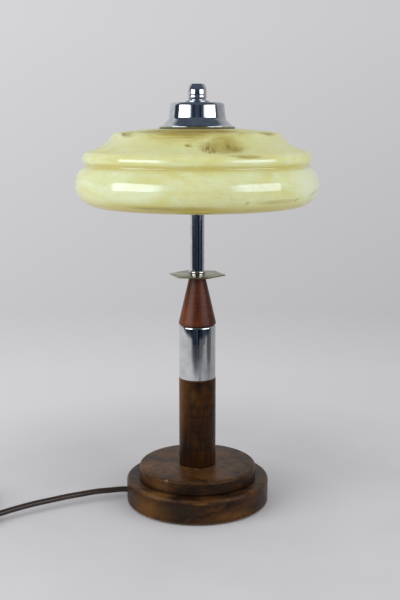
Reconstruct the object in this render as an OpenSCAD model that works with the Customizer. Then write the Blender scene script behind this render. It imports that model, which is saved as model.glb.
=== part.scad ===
// Table lamp with a stepped turned base, a column, a chromed tube and a glass mushroom shade.
// Millimetres. The origin is the middle of the base on the table, +Z is up, the front looks along -Y
// and the cord leaves to -X.

/* [Base] */
// Thickness of the felt pad
felt_t = 1.5; // [1.3:0.1:2]
// How far the felt stays inside the lower disc
felt_inset = 4; // [2:0.5:8]
// Radius of the lower disc
base_r = 76.5; // [74:0.5:82]
// Thickness of the lower disc
base_t = 25.3; // [24:0.1:30]
// Radius of the upper disc
step_r = 62.7; // [58:0.1:70]
// Thickness of the upper disc
step_t = 14.4; // [12:0.1:18]
// Rounding of both discs' top edges
base_round = 3; // [1:0.1:4]
// Radius of the hollow under the lower disc
hollow_r = 50; // [49:0.5:55]
// Depth of the hollow
hollow_t = 11.7; // [11.5:0.1:13]

/* [Column] */
// Radius of the wooden column
column_r = 19.6; // [18:0.1:22]
// Height of the column that shows
column_h = 95.7; // [60:0.1:130]
// Height of the polished sleeve
sleeve_h = 57.8; // [40:0.1:80]
// Wall of the sleeve
sleeve_wall = 1; // [0.6:0.1:1.4]
// Rounding of the sleeve's top edge
sleeve_round = 2.5; // [1:0.1:3]
// Height of the cone
cone_h = 52.2; // [40:0.1:65]
// Radius of the cone's top
cone_top_r = 8.1; // [7.5:0.1:11]

/* [Plate and tube] */
// Corner radius of the six-sided plate
plate_r = 29.9; // [24:0.1:36]
// Thickness of the plate
plate_t = 1.2; // [0.8:0.1:2]
// Turn of the plate about the axis
plate_turn = -10; // [-30:1:30]
// Radius of the chromed tube
tube_r = 7.5; // [7:0.1:8.5]
// Wall of the tube
tube_wall = 0.9; // [0.7:0.1:1.2]
// Height of the tube
tube_h = 86.3; // [70:0.1:110]
// Section radius of the collar at the tube's foot
collar_round = 1.4; // [1:0.1:2]

/* [Lamps] */
// Radius of the cluster body
cluster_r = 17; // [16:0.5:18]
// Height of the cluster body
cluster_h = 26; // [24:0.5:30]
// Radius of a lamp holder
holder_r = 13.5; // [11.5:0.1:14]
// Length of a lamp holder
holder_h = 37; // [36:0.5:38]
// Radius of a bulb
bulb_r = 17.5; // [16:0.5:18.5]

/* [Shade] */
// Largest radius of the shade
belly_r = 125; // [123.5:0.1:128]
// Section radius of the belly
belly_round = 22.5; // [22:0.1:23]
// Depth of the belly's middle below the bead's middle
belly_below = 26; // [25.6:0.1:26.6]
// Wall of the glass
glass_t = 4; // [3:0.1:4.5]
// How far the flat crown reaches past the cap
crown_past = 4.8; // [3:0.1:8]
// How far the top's turn lies inside the largest radius
corner_inset = 42.8; // [42.2:0.1:43.4]
// Section radius of the shoulder bead
bead_round = 7.4; // [7:0.1:7.7]
// Section radius of the groove under the bead
groove_round = 2; // [1.5:0.1:2.5]

/* [Cap and finial] */
// Radius of the cap's rim
cap_rim_r = 39.2; // [38:0.1:41]
// Radius of the cap's waist
cap_waist_r = 29; // [28:0.1:30]
// Height of the cap
cap_h = 25.4; // [24:0.1:30]
// Radius of the finial's flange
flange_r = 12.3; // [11:0.1:14]
// Largest radius of the finial's barrel
barrel_r = 9.6; // [9.4:0.1:11]

/* [Cord] */
// Diameter of the mains cord
cord_d = 6.2; // [5.8:0.1:6.4]
// Turns in each layer of the coil
coil_turns = 3; // [2:1:3]
// Inner radius of the coil
coil_in_r = 27; // [26:0.5:28]

/* [Switch and plug] */
// Length of the switch
switch_l = 62; // [58:1:66]
// Width of the switch
switch_w = 25; // [23:0.5:28]
// Turn of the rocker from level
rocker_tilt = 7; // [4:0.5:8]
// Spacing of the plug pins
pin_gap = 18.6; // [18:0.1:19.2]
// Length of the plug pins
pin_l = 19; // [17:0.5:20]

/* [Hidden] */
$fn = 96;
eps = 0.5;
// Clearances: threads, seated rings and pieces that slide together
thread_fit = 0.05;
seat_fit = 0.1;
turn_fit = 0.08;
loose_fit = 0.4;

// Threaded rod and the nuts on it
rod_r = 5;
rod_bore_r = 3.75;
rod_way_r = rod_r + loose_fit;
nut_r = 8.1;
nut_t = 4;
washer_r = 13;
washer_t = 1.5;
rod_tail = 0.5;

// Heights of the stack, from the table up
z_base = felt_t;
z_ceiling = z_base + hollow_t;
z_step = z_base + base_t;
z_column = z_step + step_t;
z_sleeve = z_column + column_h;
z_cone = z_sleeve + sleeve_h;
z_plate = z_cone + cone_h;
z_tube = z_plate + plate_t;
z_cluster = z_tube + tube_h;
z_lamp = z_cluster + cluster_h / 2;
z_riser = z_cluster + cluster_h;
z_rod = z_ceiling - washer_t - nut_t - rod_tail;

// Base details
foot_chamfer = 0.8;
cord_r = cord_d / 2;
cord_way_r = cord_r + loose_fit;
cord_z = z_ceiling - cord_r - seat_fit;
joint_screw_n = 3;
joint_screw_at = 36;
joint_screw_first = 90;
joint_head_r = 4;
joint_head_h = 2.2;
joint_shank_r = 2;
joint_shank_l = z_step - z_ceiling + step_t * 0.55;
spigot_r = 14;
spigot_h = 7;

// Cord clamp, terminal block and the wires in the hollow
clamp_x = -42;
clamp_w = 9;
clamp_l = 26;
clamp_t = 2.8;
clamp_z = cord_z - cord_r - seat_fit - clamp_t;
clamp_screw_y = 9;
clamp_head_r = 3;
clamp_head_h = 1.9;
clamp_shank_r = 1.5;
clamp_bite = 7;
sheath_end_x = -34;
block_x0 = -31;
block_x1 = -14;
block_w = 18;
block_lift = 0.1;
core_r = 1.1;
core_y = 1.7;
core_depth = 3;
wire_r = 0.7;
wire_off = 1.2;
wire_bend = 2.5;
wire_turn_z = z_rod + seat_fit;
wire_top_bend = 3;

// Column, sleeve and cone
foot_break = 0.6;
sleeve_r = column_r - 0.2;
sleeve_top_t = 1.2;
tenon_r = sleeve_r - sleeve_wall - seat_fit;
cone_r = column_r + 0.1;
cone_chamfer = 0.9;
cone_band = 2;
collar_foot = 1;

// Cluster, nipples and lamp holders, measured from the axis along each arm
cluster_wall = 2.5;
cluster_floor = 4;
cluster_break = 1.5;
nipple_in = cluster_r - cluster_wall - 2;
holder_in = cluster_r + nut_t * 0.75 + seat_fit;
holder_back = 8.8;
holder_out = holder_in + holder_h;
nipple_out = holder_in + holder_back - 3;
holder_cavity_r = 8.8;
holder_break = 1.2;
contact_r = 6.5;
contact_t = 1.2;
shell_out_r = holder_cavity_r - seat_fit;
shell_in_r = 7.2;
shell_lift = 2.5;
shell_end = 1.5;
bulb_thread_r = shell_in_r - 0.3;
bulb_tip_r = 3;
bulb_gap = 0.4;
bulb_tip = holder_in + holder_back + contact_t + bulb_gap;
bulb_shoulder = bulb_tip + 2.2;
bulb_neck = holder_out - 2;
bulb_neck_r = bulb_thread_r - 0.3;
bulb_neck_l = 21.4;
bulb_wall = 1;
bulb_flare = 140;

// Riser, seat and gaskets under the crown
riser_h = 30;
riser_r = 7;
seat_r = 26;
seat_t = 1.5;
gasket_t = 2;
gasket_inset = 1;
ring_t = 0.8;
ring_w = 5;
ring_inset = 0.5;
shade_hole_r = rod_r + 2;
z_seat = z_riser + riser_h;
z_gasket = z_seat + seat_t;
z_shade = z_gasket + gasket_t + glass_t;
z_cap = z_shade + ring_t;
z_finial = z_cap + cap_h;

// Shade section: centres of its arcs, in radius and height from the crown's top
crown_fall = 5.6;
crown_round = 30;
corner_round = 6.5;
corner_turn = 35;
flare_round = 40;
flare_turn = 78;
lip_turn = -110;
crown_r = cap_rim_r + crown_past;
corner_r = belly_r - corner_inset;
crown_c = [crown_r, -crown_round];
crown_end = crown_c + crown_round * [sin(crown_fall), cos(crown_fall)];
corner_top = [corner_r, crown_end[1] - (corner_r - crown_end[0]) * tan(crown_fall)];
corner_c = corner_top - corner_round * [sin(crown_fall), cos(crown_fall)];
flare_c = corner_c + (corner_round + flare_round) * unit(corner_turn);
bead_c = flare_c - (flare_round + bead_round) * unit(flare_turn);
belly_c = [belly_r - belly_round, bead_c[1] - belly_below];
groove_c = outer_meet(belly_c, belly_round + groove_round, bead_c, bead_round + groove_round);
bead_end = heading(groove_c - bead_c);
belly_start = heading(groove_c - belly_c);

// Cap and finial
cap_t = 1;
cap_edge = 1.4;
rim_cut = 0.9;
cap_round = 3.4;
cap_lean = 6.5;
skirt_lean = 45;
lip_lean = 85;
bend_r = 6;
lip_r = 8;
cap_lip_c = [cap_rim_r, cap_edge] - lip_r * unit(180 + lip_lean);
skirt_foot = cap_lip_c + lip_r * unit(180 + skirt_lean);
skirt_top_r = cap_waist_r + bend_r * (cos(cap_lean) - cos(skirt_lean));
skirt_top = [skirt_top_r, skirt_foot[1] + (skirt_foot[0] - skirt_top_r) / tan(skirt_lean)];
cap_bend_c = skirt_top - bend_r * unit(180 + skirt_lean);
waist_z = cap_bend_c[1] - bend_r * sin(cap_lean);
shoulder_z = cap_h - cap_round * (1 - sin(cap_lean));
cap_flat_r = cap_waist_r - (shoulder_z - waist_z) * tan(cap_lean) - cap_round * cos(cap_lean);
flange_t = 2.3;
flange_round = 1.1;
neck_r = barrel_r - 1.1;
band_round = 4;
band_c = [barrel_r + 0.2 - band_round, 6];
band_low = 2.9;
band_high = 1.9;
crease_r = barrel_r - 0.7;
crease_z = band_c[1] + band_high + 0.15;
barrel_round = 15.5;
barrel_c = [barrel_r - barrel_round, 10.3];
barrel_low = 2.1;
barrel_high = 7.8;
barrel_top_r = barrel_r - 2.7;
finial_h = 18.6;
finial_depth = 12.4;
rod_reach = finial_depth - 1;

// Coil of cord on the table
cord_sides = 8;
loop_rings = 24;
loop_sides = 6;
coil_step = cord_d + 0.6;
tie_t = 0.6;
coil_z = tie_t + 2 * 0.2 + cord_r;
coil_at = [-274, -25];
coil_half = 360 * coil_turns;
coil_out_r = coil_in_r + coil_step * coil_turns;
coil_lead = atan(coil_step / (2 * PI * coil_out_r));
coil_sweep = 2 * (coil_half + coil_lead);
coil_blend = 90;
coil_n = ceil(coil_sweep / 360 * loop_rings);
tie_w = 6;
tie_gap = 0.3;

// In-line switch
switch_turn = 210;
switch_at = [-243, -84.5, 0];
switch_low = 7;
switch_high = 8;
switch_wall = 1.8;
switch_corner = 6;
switch_bevel = 1.2;
rocker_l = 19.2;
rocker_w = 10;
rocker_rise = 5;
rocker_dip = 3.7;
rocker_belly = 2.6;
rocker_gap = 0.8;
pivot_z = 11;
pivot_r = 1.25;
ear_t = 1.8;
ear_w = 5;
ear_gap = 0.5;
pivot_l = rocker_w + 2 * (ear_gap + ear_t);
switch_screw_x = switch_l / 2 - 8;
switch_screw_y = switch_w / 2 - 6.5;
switch_screw_r = 1.3;
switch_head_r = 2.5;
switch_head_h = 1.6;
boss_r = 3;
terminal_size = [7, 5, 4];
terminal_x = 15;

// Plug
plug_w = 35.3;
plug_t = 13.7;
plug_l = 35;
plug_front = 12;
plug_cut = 4;
plug_back_w = 15;
boot_l = 22;
boot_r = 5.8;
boot_end_r = 4.2;
boot_rings = 4;
boot_groove = 0.8;
pin_r = 2;
pin_root = 8;
pin_tip = 1;

// Route of the cord: free points in round numbers, ends from what they meet
switch_dir = [cos(switch_turn), sin(switch_turn), 0];
switch_mid = switch_at + [0, 0, switch_low];
switch_near = switch_mid - switch_dir * switch_l / 2;
switch_far = switch_mid + switch_dir * switch_l / 2;
coil_pts = [for (i = [0:coil_n]) coil_point(coil_sweep * i / coil_n)];
coil_first = coil_pts[0] - [0, cord_d, 0];
coil_last = coil_pts[coil_n] + [0, cord_d, 0];
coil_route = concat([coil_first], coil_pts, [coil_last]);
plug_at = [coil_last[0], 40, plug_t / 2];
run_route = [
    [-base_r, 0, cord_z], [-base_r - cord_d, 0, cord_z], [-96, -2, 9.5], [-108, -5, 9.5],
    [-124, -11, 9], [-140, -19, 9], [-157, -28, 8.5], [-173, -38, 8.5], [-189, -49, 8],
    [-202, -59, 7.5], switch_near - switch_dir * cord_d, switch_near
];
link_route = [
    switch_far, switch_far + switch_dir * cord_d, [-286, -107, 5.5], [-299, -106, 4], [-311, -99, 3.5],
    [-318, -87, 3.5], [coil_first[0], -72, 3.5], [coil_first[0], -56, coil_z],
    coil_first - [0, cord_d, 0], coil_first
];
tail_route = [
    coil_last, coil_last + [0, cord_d, 0], [coil_last[0], 4, 10], [coil_last[0], 17, 8.5],
    [coil_last[0], 29, 7], plug_at - [0, cord_d, 0], plug_at
];

echo(coil_gap = coil_gap());
echo(cord_length = path_length(run_route) + path_length(link_route) + path_length(coil_route)
    + path_length(tail_route) + switch_l);
echo(height = z_finial + finial_h);

// Geometry helpers
function unit(a) = [cos(a), sin(a)];
function heading(v) = atan2(v[1], v[0]);
function arc(c, r, a0, a1, n) = [for (i = [0:n]) c + r * unit(a0 + (a1 - a0) * i / n)];
function arc_on(c, r, a0, a1, n) = [for (i = [1:n]) c + r * unit(a0 + (a1 - a0) * i / n)];
function path_length(p) = len(p) < 2 ? 0 : sum([for (i = [1:len(p) - 1]) norm(p[i] - p[i - 1])]);
function sum(v, i = 0, s = 0) = i == len(v) ? s : sum(v, i + 1, s + v[i]);

// The outer one of the two points at distance ra from a and rb from b
function outer_meet(a, ra, b, rb) =
    let (d = norm(b - a))
    let (e = (b - a) / d)
    let (t = (ra * ra - rb * rb + d * d) / (2 * d))
    let (h = sqrt(ra * ra - t * t))
    a + t * e + h * [e[1], -e[0]];

// Point of the coil after turning by angle f: in along the lower layer, out along the upper one
function coil_point(f) =
    let (g = f - coil_sweep / 2)
    let (away = abs(g) < coil_blend ? (g * g / coil_blend + coil_blend) / 2 : abs(g))
    let (r = coil_in_r + coil_step * away / 360)
    let (a = 180 + coil_lead - f)
    let (t = min(1, max(0, (g + coil_blend) / (2 * coil_blend))))
    [coil_at[0] + r * cos(a), coil_at[1] + r * sin(a), coil_z + coil_step * t * t * (3 - 2 * t)];

// Least gap of the coil to itself, measured between points over a third of a loop apart
function coil_gap() =
    min([for (i = [0:coil_n], j = [i + loop_rings / 3:1:coil_n]) norm(coil_pts[i] - coil_pts[j])]) - cord_d;

// Ring of points round a path point, square to the path
function tangent(p, i) =
    let (v = p[min(i + 1, len(p) - 1)] - p[max(i - 1, 0)])
    v / norm(v);
function ring_at(p, i, r, n) =
    let (t = tangent(p, i))
    let (s = cross(t, [0, 0, 1]))
    let (u = s / norm(s))
    let (w = cross(u, t))
    [for (k = [0:n - 1]) p[i] + r * (cos(360 * k / n) * u + sin(360 * k / n) * w)];

// Closed tube along a path, with triangular faces
module tube_along(path, r, n) {
    m = len(path);
    points = [for (i = [0:m - 1]) each ring_at(path, i, r, n)];
    sides = [for (i = [0:m - 2], k = [0:n - 1]) each let (a = i * n, b = a + n, l = (k + 1) % n)
        [[a + k, a + l, b + l], [a + k, b + l, b + k]]];
    start = [for (k = [1:n - 2]) [0, k + 1, k]];
    end = [for (k = [1:n - 2]) let (a = (m - 1) * n) [a, a + k, a + k + 1]];
    polyhedron(points = points, faces = concat(sides, start, end));
}

module ring(r_out, r_in, h) {
    rotate_extrude() translate([r_in, 0]) square([r_out - r_in, h]);
}

// Hex nut with its threaded hole
module hex_nut(h) {
    difference() {
        cylinder(r = nut_r, h = h, $fn = 6);
        translate([0, 0, -eps]) cylinder(r = rod_r + thread_fit, h = h + 2 * eps);
    }
}

// Turned disc with a broken lower edge and a rounded upper edge
module turned_disc(r, t, bore) {
    rotate_extrude() polygon(concat(
        [[bore, 0], [r - foot_chamfer, 0], [r, foot_chamfer]],
        arc([r - base_round, t - base_round], base_round, 0, 90, 6),
        [[bore, t]]
    ));
}

// Countersunk wood screw pointing up, or its hole when grown by a clearance
module joint_screw(grow) {
    rotate_extrude() polygon([
        [0, -grow], [joint_head_r + grow, -grow], [joint_head_r + grow, 0],
        [joint_shank_r + grow, joint_head_h], [joint_shank_r + grow, joint_shank_l], [0, joint_shank_l + 2 + grow]
    ]);
}

module at_joint_screws() {
    for (i = [0:joint_screw_n - 1])
        rotate([0, 0, joint_screw_first + 360 * i / joint_screw_n])
            translate([joint_screw_at, 0, z_ceiling]) children();
}

module at_clamp_screws() {
    for (s = [-1, 1]) translate([clamp_x, s * clamp_screw_y, clamp_z]) children();
}

module along_x(x0, x1, r) {
    translate([x0, 0, 0]) rotate([0, 90, 0]) cylinder(r = r, h = x1 - x0);
}

// Base pieces
module felt_pad() {
    color("darkolivegreen") cylinder(r = base_r - felt_inset, h = felt_t);
}

module base_lower_disc() {
    color("#3a2314") difference() {
        translate([0, 0, z_base]) turned_disc(base_r, base_t, rod_way_r);
        translate([0, 0, z_base - eps]) cylinder(r = hollow_r, h = hollow_t + eps);
        translate([0, 0, cord_z]) along_x(-base_r - eps, -hollow_r + foot_break * 5, cord_way_r);
        at_joint_screws() joint_screw(thread_fit);
        at_clamp_screws() cylinder(r = clamp_shank_r + thread_fit, h = z_ceiling - clamp_z + clamp_bite + seat_fit);
    }
}

module base_upper_disc() {
    color("#3a2314") difference() {
        translate([0, 0, z_step]) turned_disc(step_r, step_t, rod_way_r);
        translate([0, 0, z_column - spigot_h - seat_fit]) cylinder(r = spigot_r + seat_fit, h = spigot_h + eps);
        at_joint_screws() joint_screw(thread_fit);
    }
}

module base_screws() {
    color("silver") at_joint_screws() joint_screw(0);
}

module rod_washer() {
    color("silver") translate([0, 0, z_ceiling - washer_t]) ring(washer_r, rod_way_r, washer_t);
}

module rod_nut() {
    color("silver") translate([0, 0, z_ceiling - washer_t - nut_t]) hex_nut(nut_t);
}

module through_rod() {
    color("darkgoldenrod") translate([0, 0, z_rod]) ring(rod_r, rod_bore_r, z_cluster + cluster_floor - z_rod);
}

module cord_clamp() {
    color("saddlebrown") translate([clamp_x, 0, clamp_z]) difference() {
        linear_extrude(clamp_t) union() {
            square([clamp_w, clamp_l - clamp_w], center = true);
            for (s = [-1, 1]) translate([0, s * (clamp_l - clamp_w) / 2]) circle(d = clamp_w);
        }
        for (s = [-1, 1]) translate([0, s * clamp_screw_y, -eps])
            cylinder(r = clamp_shank_r + seat_fit, h = clamp_t + 2 * eps);
    }
}

module clamp_screws() {
    color("silver") at_clamp_screws() union() {
        translate([0, 0, -clamp_head_h]) cylinder(r = clamp_head_r, h = clamp_head_h);
        cylinder(r = clamp_shank_r, h = z_ceiling - clamp_z + clamp_bite);
    }
}

module terminal_block() {
    z0 = felt_t + block_lift;
    color("ivory") difference() {
        translate([block_x0, -block_w / 2, z0]) cube([block_x1 - block_x0, block_w, z_ceiling - z0]);
        at_cores() along_x(block_x0 - eps, block_x0 + core_depth + seat_fit, core_r + seat_fit);
        at_wire_rows() along_x(block_x1 - core_depth - seat_fit, block_x1 + eps, wire_r + seat_fit);
    }
}

module at_cores() {
    for (s = [-1, 1]) translate([0, s * core_y, cord_z]) children();
}

// Bottom heights of the wires that turn up into the rod: the near pair bends inside the far pair
module at_wire_rows() {
    for (s = [-1, 1], far = [0, 1])
        translate([0, s * wire_off, wire_turn_z - wire_bend - 2 * wire_off * far]) children();
}

module cord_inner() {
    color("#4a2a16") translate([0, 0, cord_z]) along_x(-base_r, sheath_end_x, cord_r);
}

module core_ends() {
    color("steelblue") at_cores() along_x(sheath_end_x, block_x0 + core_depth, core_r);
}

// One lamp wire: out of the block, up the rod and out along one arm
module lamp_wire(side, y) {
    bend = wire_bend + wire_off * (1 + side);
    bend_x = -wire_off - wire_bend;
    top_z = z_lamp - wire_top_bend;
    translate([0, y, wire_turn_z - bend]) along_x(block_x1 - core_depth, bend_x, wire_r);
    translate([bend_x, y, wire_turn_z]) rotate([90, 0, 0]) rotate([0, 0, -90])
        rotate_extrude(angle = 90) translate([bend, 0]) circle(wire_r);
    translate([side * wire_off, y, wire_turn_z]) cylinder(r = wire_r, h = top_z - wire_turn_z);
    translate([side * (wire_off + wire_top_bend), y, top_z]) rotate([90, 0, 0]) rotate([0, 0, 45 + 45 * side])
        rotate_extrude(angle = 90) translate([wire_top_bend, 0]) circle(wire_r);
    translate([side * (wire_off + wire_top_bend), y, z_lamp]) rotate([0, side * 90, 0])
        cylinder(r = wire_r, h = nipple_out - 1 - wire_off - wire_top_bend);
}

module lamp_wires() {
    color("khaki") for (side = [-1, 1], s = [-1, 1]) lamp_wire(side, s * wire_off);
}

// Column pieces
module column() {
    color("#3a2314") translate([0, 0, z_column]) rotate_extrude() polygon([
        [rod_way_r, -spigot_h], [spigot_r, -spigot_h], [spigot_r, 0], [column_r - foot_break, 0],
        [column_r, foot_break], [column_r, column_h], [tenon_r, column_h],
        [tenon_r, column_h + sleeve_h - sleeve_top_t], [rod_way_r, column_h + sleeve_h - sleeve_top_t]
    ]);
}

module sleeve() {
    in_r = sleeve_r - sleeve_wall;
    color("lightgray") translate([0, 0, z_sleeve]) rotate_extrude() polygon(concat(
        [[in_r, 0], [sleeve_r, 0]],
        arc([sleeve_r - sleeve_round, sleeve_h - sleeve_round], sleeve_round, 0, 90, 8),
        [[rod_way_r, sleeve_h], [rod_way_r, sleeve_h - sleeve_top_t], [in_r, sleeve_h - sleeve_top_t]]
    ));
}

module cone() {
    color("#5a2a1c") translate([0, 0, z_cone]) rotate_extrude() polygon([
        [rod_way_r, 0], [cone_r - cone_chamfer, 0], [cone_r, cone_chamfer], [cone_r, cone_band],
        [cone_top_r, cone_h], [rod_way_r, cone_h]
    ]);
}

module hex_plate() {
    color("gainsboro") translate([0, 0, z_plate]) rotate([0, 0, plate_turn]) difference() {
        cylinder(r = plate_r, h = plate_t, $fn = 6);
        translate([0, 0, -eps]) cylinder(r = rod_way_r, h = plate_t + 2 * eps);
    }
}

module tube_collar() {
    in_r = tube_r + seat_fit;
    color("gainsboro") translate([0, 0, z_tube]) rotate_extrude() polygon(concat(
        [[in_r, 0], [in_r + collar_round / 2, 0], [in_r + collar_round / 2, collar_foot]],
        arc_on([in_r, collar_foot + collar_round], collar_round, -60, 90, 12)
    ));
}

module stem_tube() {
    color("gainsboro") translate([0, 0, z_tube]) ring(tube_r, tube_r - tube_wall, tube_h);
}

// Lamp cluster: a hollow can on the rod with an arm to each side
module along_arm(side) {
    translate([0, 0, z_lamp]) rotate([0, side * 90, 0]) children();
}

module both_arms() {
    for (side = [-1, 1]) along_arm(side) children();
}

module cluster_body() {
    color("silver") difference() {
        translate([0, 0, z_cluster]) rotate_extrude() polygon([
            [rod_r + thread_fit, 0], [cluster_r - cluster_break, 0], [cluster_r, cluster_break],
            [cluster_r, cluster_h - cluster_break], [cluster_r - cluster_break, cluster_h],
            [rod_r + thread_fit, cluster_h], [rod_r + thread_fit, cluster_h - cluster_floor],
            [cluster_r - cluster_wall, cluster_h - cluster_floor], [cluster_r - cluster_wall, cluster_floor],
            [rod_r + thread_fit, cluster_floor]
        ]);
        both_arms() translate([0, 0, nipple_in]) cylinder(r = rod_r + thread_fit, h = cluster_r);
    }
}

module holder_nipples() {
    color("darkgoldenrod") both_arms() translate([0, 0, nipple_in]) ring(rod_r, rod_bore_r, nipple_out - nipple_in);
}

module nipple_nuts() {
    color("silver") both_arms() translate([0, 0, cluster_r]) hex_nut(holder_in - cluster_r);
}

module lamp_holder(side) {
    color("#20201f") along_arm(side) rotate_extrude() polygon([
        [rod_r + thread_fit, holder_in], [holder_r - holder_break, holder_in], [holder_r, holder_in + holder_break],
        [holder_r, holder_out - holder_break], [holder_r - holder_break, holder_out],
        [holder_cavity_r, holder_out], [holder_cavity_r, holder_in + holder_back],
        [rod_r + thread_fit, holder_in + holder_back]
    ]);
}

module holder_left() {
    lamp_holder(-1);
}

module holder_right() {
    lamp_holder(1);
}

// Centre contact with its two tails, and the threaded shell round the bulb's cap
module lamp_contacts(side) {
    floor_at = holder_in + holder_back;
    color("goldenrod") along_arm(side) union() {
        translate([0, 0, floor_at]) cylinder(r = contact_r, h = contact_t);
        for (s = [-1, 1]) translate([0, s * wire_off, nipple_out - 1])
            cylinder(r = wire_r, h = floor_at - nipple_out + 1);
        translate([0, 0, floor_at + shell_lift]) ring(shell_out_r, shell_in_r, holder_h - holder_back - shell_lift - shell_end);
    }
}

module contacts_left() {
    lamp_contacts(-1);
}

module contacts_right() {
    lamp_contacts(1);
}

module bulb_cap(side) {
    color("silver") along_arm(side) rotate_extrude() polygon([
        [0, bulb_tip], [bulb_tip_r, bulb_tip], [bulb_thread_r, bulb_shoulder], [bulb_thread_r, bulb_neck], [0, bulb_neck]
    ]);
}

// Hollow globe, open at the neck where the cap closes it
module bulb_glass(side) {
    c = [0, bulb_neck + bulb_neck_l];
    color("whitesmoke") along_arm(side) rotate_extrude() polygon(concat(
        [[bulb_neck_r, bulb_neck]],
        arc(c, bulb_r, 90 - bulb_flare, 90, 18),
        arc(c, bulb_r - bulb_wall, 90, 90 - bulb_flare, 18),
        [[bulb_neck_r - bulb_wall, bulb_neck]]
    ));
}

module bulb_left_cap() {
    bulb_cap(-1);
}

module bulb_left_glass() {
    bulb_glass(-1);
}

module bulb_right_cap() {
    bulb_cap(1);
}

module bulb_right_glass() {
    bulb_glass(1);
}

// Shade support
module finial_rod() {
    z0 = z_riser - cluster_floor;
    color("darkgoldenrod") translate([0, 0, z0]) cylinder(r = rod_r, h = z_finial + rod_reach - z0);
}

module riser_tube() {
    color("silver") translate([0, 0, z_riser]) ring(riser_r, rod_way_r, riser_h);
}

module shade_seat() {
    color("silver") translate([0, 0, z_seat]) ring(seat_r, rod_way_r, seat_t);
}

module lower_gasket() {
    color("peru") translate([0, 0, z_gasket]) ring(seat_r - gasket_inset, rod_way_r + gasket_inset, gasket_t);
}

// Shade: one wall that follows crown, corner, flare, bead, groove and belly, with a rounded lip
function shade_skin(t) = concat(
    [[shade_hole_r, -t]],
    arc(crown_c, crown_round - t, 90, 90 - crown_fall, 2),
    arc(corner_c, corner_round - t, 90 - crown_fall, corner_turn, 6),
    arc_on(flare_c, flare_round + t, 180 + corner_turn, 180 + flare_turn, 6),
    arc_on(bead_c, bead_round - t, flare_turn, bead_end, 12),
    arc_on(groove_c, groove_round + t, 180 + bead_end, 180 + belly_start, 8),
    arc_on(belly_c, belly_round - t, belly_start, lip_turn, 20)
);
function reversed(v) = [for (i = [len(v) - 1:-1:0]) v[i]];

module shade() {
    lip_c = belly_c + (belly_round - glass_t / 2) * unit(lip_turn);
    lip = arc_on(lip_c, glass_t / 2, lip_turn, lip_turn - 180 * 5 / 6, 5);
    color("#dcdcaa") translate([0, 0, z_shade]) rotate_extrude()
        polygon(concat(shade_skin(0), lip, reversed(shade_skin(glass_t))));
}

module upper_gasket() {
    out_r = cap_rim_r - ring_inset;
    color("dimgray") translate([0, 0, z_shade]) ring(out_r, out_r - ring_w, ring_t);
}

module bell_cap() {
    top_c = [cap_flat_r, cap_h - cap_round];
    color("gainsboro") translate([0, 0, z_cap]) rotate_extrude() polygon(concat(
        [[cap_rim_r - rim_cut, 0], [cap_rim_r, cap_edge]],
        arc_on(cap_lip_c, lip_r, 180 + lip_lean, 180 + skirt_lean, 6),
        arc(cap_bend_c, bend_r, 180 + skirt_lean, 180 + cap_lean, 6),
        arc(top_c, cap_round, cap_lean, 90, 6),
        [[rod_way_r, cap_h], [rod_way_r, cap_h - cap_t]],
        arc(top_c, cap_round - cap_t, 90, cap_lean, 6),
        arc(cap_bend_c, bend_r + cap_t, 180 + cap_lean, 180 + skirt_lean, 6),
        arc(cap_lip_c, lip_r + cap_t, 180 + skirt_lean, 180 + lip_lean - 12, 6),
        [[cap_rim_r - cap_edge, 0]]
    ));
}

// Barrel nut: flange, short neck, rounded band and a barrel with a flat top over a blind threaded hole
module finial() {
    bore = rod_r + turn_fit;
    color("gainsboro") translate([0, 0, z_finial]) rotate_extrude() polygon(concat(
        [[bore, 0], [flange_r - flange_round, 0]],
        arc_on([flange_r - flange_round, flange_round], flange_round, -90, 90, 8),
        [[neck_r, flange_t]],
        arc(band_c, band_round, -asin(band_low / band_round), asin(band_high / band_round), 8),
        [[crease_r, crease_z]],
        arc(barrel_c, barrel_round, -asin(barrel_low / barrel_round), asin(barrel_high / barrel_round), 10),
        [[barrel_top_r, finial_h], [0, finial_h], [0, finial_depth], [bore, finial_depth]]
    ));
}

// Mains cord on the table
module cord_run() {
    color("#4a2a16") tube_along(run_route, cord_r, cord_sides);
}

module cord_link() {
    color("#4a2a16") tube_along(link_route, cord_r, cord_sides);
}

module cord_coil() {
    color("#4a2a16") tube_along(coil_route, cord_r, loop_sides);
}

module cord_tail() {
    color("#4a2a16") tube_along(tail_route, cord_r, cord_sides);
}

// Band round both layers of the coil, on the side towards the lamp
module cord_tie() {
    mid_r = coil_in_r + coil_step * coil_turns / 2;
    w = coil_step * coil_turns + tie_gap * 2;
    h = cord_d + coil_step + tie_gap * 2;
    mid_z = coil_z + coil_step / 2;
    color("dimgray") translate([coil_at[0] + mid_r, coil_at[1], mid_z]) rotate([90, 0, 0])
        linear_extrude(tie_w, center = true) difference() {
            square([w + 2 * tie_t, h + 2 * tie_t], center = true);
            square([w, h], center = true);
        }
}

// In-line switch, drawn along X and then turned onto the cord
module at_switch() {
    translate(switch_at) rotate([0, 0, switch_turn]) children();
}

module switch_plan(inset) {
    l = switch_l / 2 - switch_corner;
    w = switch_w / 2 - switch_corner;
    r = switch_corner - inset;
    square([2 * (l + r), 2 * w], center = true);
    square([2 * l, 2 * (w + r)], center = true);
    for (x = [-l, l], y = [-w, w]) translate([x, y]) circle(r);
}

module at_switch_screws() {
    for (s = [-1, 1]) translate([s * switch_screw_x, s * switch_screw_y, 0]) children();
}

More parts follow.
